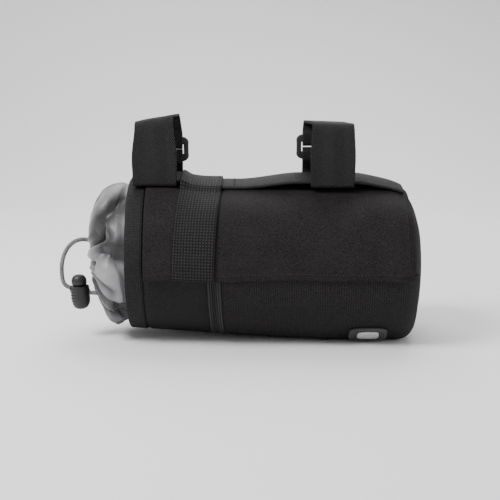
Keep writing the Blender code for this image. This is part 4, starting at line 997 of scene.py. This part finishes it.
# %% Handlebar loops
def rounded_path(corners, step_angle=7.0):
    """Points (n, 2) along straight runs whose corners are arcs; a corner of no radius is a plain point."""
    points = [Vector(corners[0][0])]
    for before, (corner, radius), after in zip(corners, corners[1:-1], corners[2:]):
        corner = Vector(corner)
        if radius == 0.0:
            points.append(corner)
            continue
        arriving = (corner - Vector(before[0])).normalized()
        leaving = (Vector(after[0]) - corner).normalized()
        turn = arriving.angle_signed(leaving, 0.0)
        side = Vector((arriving.y, -arriving.x)) * math.copysign(1.0, turn)
        start = corner - arriving * (radius * math.tan(abs(turn) / 2))
        steps = max(2, round(abs(math.degrees(turn)) / step_angle))
        points += [start + arriving * (radius * math.sin(abs(turn) * k / steps))
                   + side * (radius * (1.0 - math.cos(abs(turn) * k / steps))) for k in range(steps + 1)]
    points.append(Vector(corners[-1][0]))
    return np.array([tuple(p) for p in points])


def evened(path, spacing, passes):
    """The path at even spacing, with its corners eased by a running mean of three points."""
    length = np.concatenate([[0.0], np.cumsum(np.linalg.norm(np.diff(path, axis=0), axis=1))])
    marks = np.linspace(0.0, length[-1], round(length[-1] / spacing))
    path = np.stack([np.interp(marks, length, path[:, k]) for k in range(path.shape[1])], axis=1)
    for _ in range(passes):
        path[1:-1] = (path[:-2] + path[1:-1] + path[2:]) / 3
    return path


def loop_foot(loop):
    """Radius of the loop's run under the band, the height of the barrel's axis there, and how far it is pressed."""
    radius, centre = section(MOUTH_X + loop["centre"])
    low = float(pressed(MOUTH_X + loop["centre"], BAND_CENTRE))
    return float(radius) - low + loop["bow"] + UNDER_BAND + STRAP_THICKNESS / 2, float(centre), low - loop["bow"]


def lean_forward(y, z, centre):
    """Turns a point seen from the bag's end about the barrel's axis, as far as the band lies forward."""
    lean = math.radians(BAND_CENTRE)
    up = z - centre
    return AXIS_Y + y * math.cos(lean) - up * math.sin(lean), centre + y * math.sin(lean) + up * math.cos(lean)


def ring_height(loop):
    """Height of the ring's middle before it leans forward."""
    radius, centre, low = loop_foot(loop)
    return centre + radius + low + loop["ring"]


def loop_path(loop):
    """The loop seen from the end of the bag, as (y, z) points, from its lower fold round to its upper."""
    radius, centre, low = loop_foot(loop)
    top = centre + radius + low + loop["height"]
    ring = ring_height(loop)
    bar = RING_HEIGHT / 2 - RING_BAR / 2
    wrap = RING_BAR / 2 + GAP + STRAP_THICKNESS / 2
    deep = RING_THICKNESS / 2 + GAP + STRAP_THICKNESS / 2 + RING_PLAY
    doubled = STRAP_THICKNESS + GAP
    rear = LOOP_HALF_DEPTH
    inside, outside = rear - RING_INSET - deep, rear - RING_INSET + deep
    leaves = bar + wrap + RING_EASE
    foot = math.asin(rear / radius)
    under = [(radius * math.sin(foot * k), centre + radius * math.cos(foot * k))
             for k in (0.70, 0.35, 0.0, -0.35, -0.70)]
    foot_z = centre + radius * math.cos(foot)
    turn = deep * 0.8
    corners = [((rear - doubled, ring - leaves - RING_TAIL), 0.0), ((rear - doubled, ring - leaves), turn),
               ((inside, ring - bar - wrap * 0.9), turn), ((inside, ring - loop["slit"]), turn),
               ((outside, ring - loop["slit"]), turn), ((outside, ring - bar - wrap), turn),
               ((rear, ring - leaves), turn), ((rear, foot_z), LOOP_FOOT_CORNER)]
    corners += [(point, 0.0) for point in under]
    corners += [((-rear, foot_z), LOOP_FOOT_CORNER), ((-rear, top), LOOP_CORNER),
                ((rear, top - LOOP_FALL), LOOP_REAR_CORNER),
                ((rear, ring + leaves), turn), ((outside, ring + bar + wrap), turn),
                ((outside, ring + loop["slit"]), turn), ((inside, ring + loop["slit"]), turn),
                ((inside, ring + bar + wrap * 0.9), turn), ((rear - doubled, ring + leaves), turn),
                ((rear - doubled, ring + leaves + RING_TAIL), 0.0)]
    return evened(rounded_path(corners), 0.0006, 2)


def loop_points(loop, path, share):
    """Points of a loop at shares of its width: its top is pinched and rises to one side, its front leg
    bows out a little, and its rear leg stands further along the bag."""
    radius, centre, low = loop_foot(loop)
    foot_z = centre + radius + low
    pinched_from = np.where(path[:, 0] < 0.0, foot_z + LOOP_PINCH_START, ring_height(loop) + RING_HEIGHT / 2)
    high = smooth(path[:, 1], pinched_from, foot_z + loop["height"])
    bow = 0.05 * bell(path[:, 1] - foot_z - 0.024, 0.016) * (path[:, 0] < 0.0)
    width = STRAP_WIDTH * (1.0 + (loop["pinch"] - 1.0) * high + bow)
    shift = loop["shear"] * smooth(path[:, 0], -LOOP_HALF_DEPTH, LOOP_HALF_DEPTH)
    x = MOUTH_X + loop["centre"] + shift[:, None] + width[:, None] * share[None, :]
    risen = path[:, 1][:, None] + loop["rise"] * high[:, None] * share[None, :]
    y, z = lean_forward(path[:, 0][:, None], risen, centre)
    return np.stack(np.broadcast_arrays(x, y, z), axis=-1)


TAIL_ROW = 18              # row of a loop, from either end, at the stitches of its doubled tail
for loop in LOOPS:
    path = loop_path(loop)
    points = loop_points(loop, path, np.linspace(-0.5, 0.5, 37))
    tape_piece = make_grid("handlebar_loop_" + loop["side"], points, herringbone, wall=STRAP_THICKNESS, flip=True)
    ride(tape_piece, "webbing", "bar_strap_" + loop["side"])
    for row_name, k in (("low", TAIL_ROW), ("high", len(path) - 1 - TAIL_ROW)):
        across = loop_points(loop, path[k - 1:k + 2], np.linspace(-0.42, 0.42, 30))
        out = np.cross(across[2] - across[0], across[1][-1] - across[1][0])
        out /= -np.linalg.norm(out, axis=1)[:, None]
        stitches(f"stitches_loop_{loop['side']}_{row_name}", across[1] + out * STRAP_THICKNESS / 2, out)
print("loop's tape:", round(float(np.linalg.norm(np.diff(path, axis=0), axis=1).sum()) * MM), "mm long")

# %% [markdown]
# ## Plastic rings
# Each loop closes on a moulded acetal ring, a rounded rectangle. It is a section with soft edges carried
# round a rounded rectangle: wide bars for the tape, narrower ends.

# %% Rings


def rounded_rectangle(width, height, corner, steps):
    """Centreline of the ring: four quarter circles joined by straight sides, with its outward directions."""
    angle = np.concatenate([np.linspace(q, q + 90.0, steps) for q in (0.0, 90.0, 180.0, 270.0)])
    quarter = np.repeat([0, 1, 2, 3], steps)
    sign_x, sign_y = np.array([1, -1, -1, 1])[quarter], np.array([1, 1, -1, -1])[quarter]
    out = np.stack([np.cos(np.radians(angle)), np.sin(np.radians(angle))], axis=1)
    centre = np.stack([sign_x * (width / 2 - corner), sign_y * (height / 2 - corner)], axis=1)
    return centre + out * corner, out


for loop in LOOPS:
    middle_line, out = rounded_rectangle(RING_WIDTH - RING_END_BAR, RING_HEIGHT - RING_BAR, 0.0030, 10)
    bar_half = (RING_END_BAR + (RING_BAR - RING_END_BAR) * np.abs(out[:, 1])) / 2
    turn = np.linspace(0.0, 2 * math.pi, 24, endpoint=False)
    soft_cos = np.sign(np.cos(turn)) * np.abs(np.cos(turn)) ** 0.55
    soft_sin = np.sign(np.sin(turn)) * np.abs(np.sin(turn)) ** 0.55
    flat = middle_line[:, None] + out[:, None] * (bar_half[:, None, None] * soft_cos[None, :, None])
    tall = np.broadcast_to(RING_THICKNESS / 2 * soft_sin[None, :], flat.shape[:2])
    y, z = lean_forward(LOOP_HALF_DEPTH - RING_INSET + tall, ring_height(loop) + flat[..., 1], loop_foot(loop)[1])
    ring_points = np.stack([MOUTH_X + loop["centre"] + loop["shear"] + flat[..., 0], y, z], axis=-1)
    ring = make_grid("strap_ring_moulding_" + loop["side"], ring_points, acetal, closed=True, looped=True)
    ride(ring, "plastic", "strap_ring_" + loop["side"])
print("rings:", RING_WIDTH * MM, "by", RING_HEIGHT * MM, "mm")

# %% [markdown]
# ## The rubber patch
# A soft rubber patch is sewn low on the front, with a raised border and a plain reflective inset, left
# bare. It is a grid from its middle outwards, whose outline is across^4 + down^4 = 1.

# %% Moulded rubber and reflective film
rubber = moulded("moulded_soft_rubber", "#2b2a2b", "#3b3a3b", 0.58)
film, tree, _ = new_finish("reflective_film", 0.34, Metallic=0.35)
place, _, _ = cloth_axes(tree)
# Glass-bead film has a fine honeycomb; its 0.8 mm cells are drawn 1.6 mm wide.
cells = add(tree, "TexVoronoi", {"Vector": place, "Scale": 1 / 1.6}, feature="DISTANCE_TO_EDGE").outputs["Distance"]
finish_cloth(film, cells, 0.06, ("#b9b9ba", "#e4e4e5"), cells, wear_scale=0.004, wear=0.5)

# %% Patch
PATCH_CENTRE, PATCH_WIDTH, PATCH_TOP, PATCH_BOTTOM = 0.1978, 0.0320, 132.0, 148.5
PATCH_THICKNESS, INSET_SHARE, INSET_THICKNESS = 0.0020, 0.56, 0.0005
UNDER_FLAP = GAP + CLOTH + GAP


def patch_points(width, top, bottom, profile, steps=96):
    """Rings of the patch: profile gives each ring's share of the outline and its height."""
    turn = np.arange(steps) * 2 * math.pi / steps
    across = np.sign(np.cos(turn)) * np.abs(np.cos(turn)) ** 0.5
    down = np.sign(np.sin(turn)) * np.abs(np.sin(turn)) ** 0.5
    shares = np.array([p[0] for p in profile])[:, None]
    heights = np.array([p[1] for p in profile])[:, None]
    x = MOUTH_X + PATCH_CENTRE + width / 2 * shares * across[None, :]
    degrees = (top + bottom) / 2 + (bottom - top) / 2 * shares * down[None, :]
    return skin(x, degrees, heights)


base = UNDER_FLAP
border = PATCH_THICKNESS * np.array([0.0, 0.55, 0.9, 1.0, 1.0, 0.86, 0.66, 0.62, 0.62, 0.62])
shares = (1.0, 1.0, 0.985, 0.955, 0.83, 0.80, 0.775, 0.70, 0.35, 0.02)
patch_piece = make_grid("rubber_patch_moulding", patch_points(PATCH_WIDTH, PATCH_TOP, PATCH_BOTTOM,
                                                               list(zip(shares, base + border))), rubber, closed=True,
                        flip=True, foot=skin(MOUTH_X + PATCH_CENTRE, (PATCH_TOP + PATCH_BOTTOM) / 2, base),
                        pole=skin(MOUTH_X + PATCH_CENTRE, (PATCH_TOP + PATCH_BOTTOM) / 2, base + border[-1]))
ride(patch_piece, "rubber", "rubber_patch")
margin = (PATCH_BOTTOM - PATCH_TOP) * (1.0 - INSET_SHARE) / 2
inset_base = base + PATCH_THICKNESS * 0.62
inset_rows = [(1.0, inset_base), (1.0, inset_base + 0.0008), (0.96, inset_base + 0.0010), (0.5, inset_base + 0.0010),
              (0.02, inset_base + 0.0010)]
inset = make_grid("patch_reflective_inset", patch_points(PATCH_WIDTH * INSET_SHARE, PATCH_TOP + margin,
                                                          PATCH_BOTTOM - margin, inset_rows), film, closed=True,
                  flip=True, foot=skin(MOUTH_X + PATCH_CENTRE, (PATCH_TOP + PATCH_BOTTOM) / 2, inset_base),
                  pole=skin(MOUTH_X + PATCH_CENTRE, (PATCH_TOP + PATCH_BOTTOM) / 2, inset_base + 0.0010))
ride(inset, "reflective", "patch_inset")
print("patch:", PATCH_WIDTH * MM, "mm wide")

# %% [markdown]
# ## Floor and light
# A pale sheet curves up behind the bag, and three large soft lights stand round it: one above and to the
# left, a weaker one at the right, and one from behind and above that draws the top edges.

# %% Pale sweep
paper, _, shader = new_finish("pale_studio_paper", 0.85)
shader.inputs["Base Color"].default_value = linear("#f0eeef")
sweep_y = np.concatenate([np.linspace(-1.6, 0.9, 12), 0.9 + 0.8 * np.sin(np.radians(np.linspace(8, 90, 12))),
                          np.full(4, 1.7)])
sweep_z = np.concatenate([np.zeros(12), 0.8 * (1 - np.cos(np.radians(np.linspace(8, 90, 12)))),
                          np.linspace(1.0, 2.2, 4)])
sweep = np.stack(np.broadcast_arrays(np.linspace(-2.5, 2.5, 9)[None, :], sweep_y[:, None], sweep_z[:, None]), axis=-1)
floor = make_grid("paper_sweep", sweep, paper)

# %% Soft lights
LIGHTS = (
    ("key_left", (-0.85, -0.55, 1.15), 0.6, 26.0),
    ("fill_right", (0.95, -0.80, 0.55), 1.0, 4.0),
    ("top_back", (0.10, 0.75, 1.15), 1.2, 17.0),
)
for name, where, size, power in LIGHTS:
    lamp = bpy.data.lights.new(name, "AREA")
    lamp.size = size
    lamp.energy = power
    holder = bpy.data.objects.new(name, lamp)
    holder.location = where
    holder.rotation_euler = (Vector((0.0, 0.0, 0.06)) - Vector(where)).to_track_quat("-Z", "Y").to_euler()
    looks.objects.link(holder)
world = bpy.data.worlds.new("studio")
bpy.context.scene.world = world
world.use_nodes = True
world.node_tree.nodes["Background"].inputs["Color"].default_value = linear("#e4e3e4")
world.node_tree.nodes["Background"].inputs["Strength"].default_value = 0.66
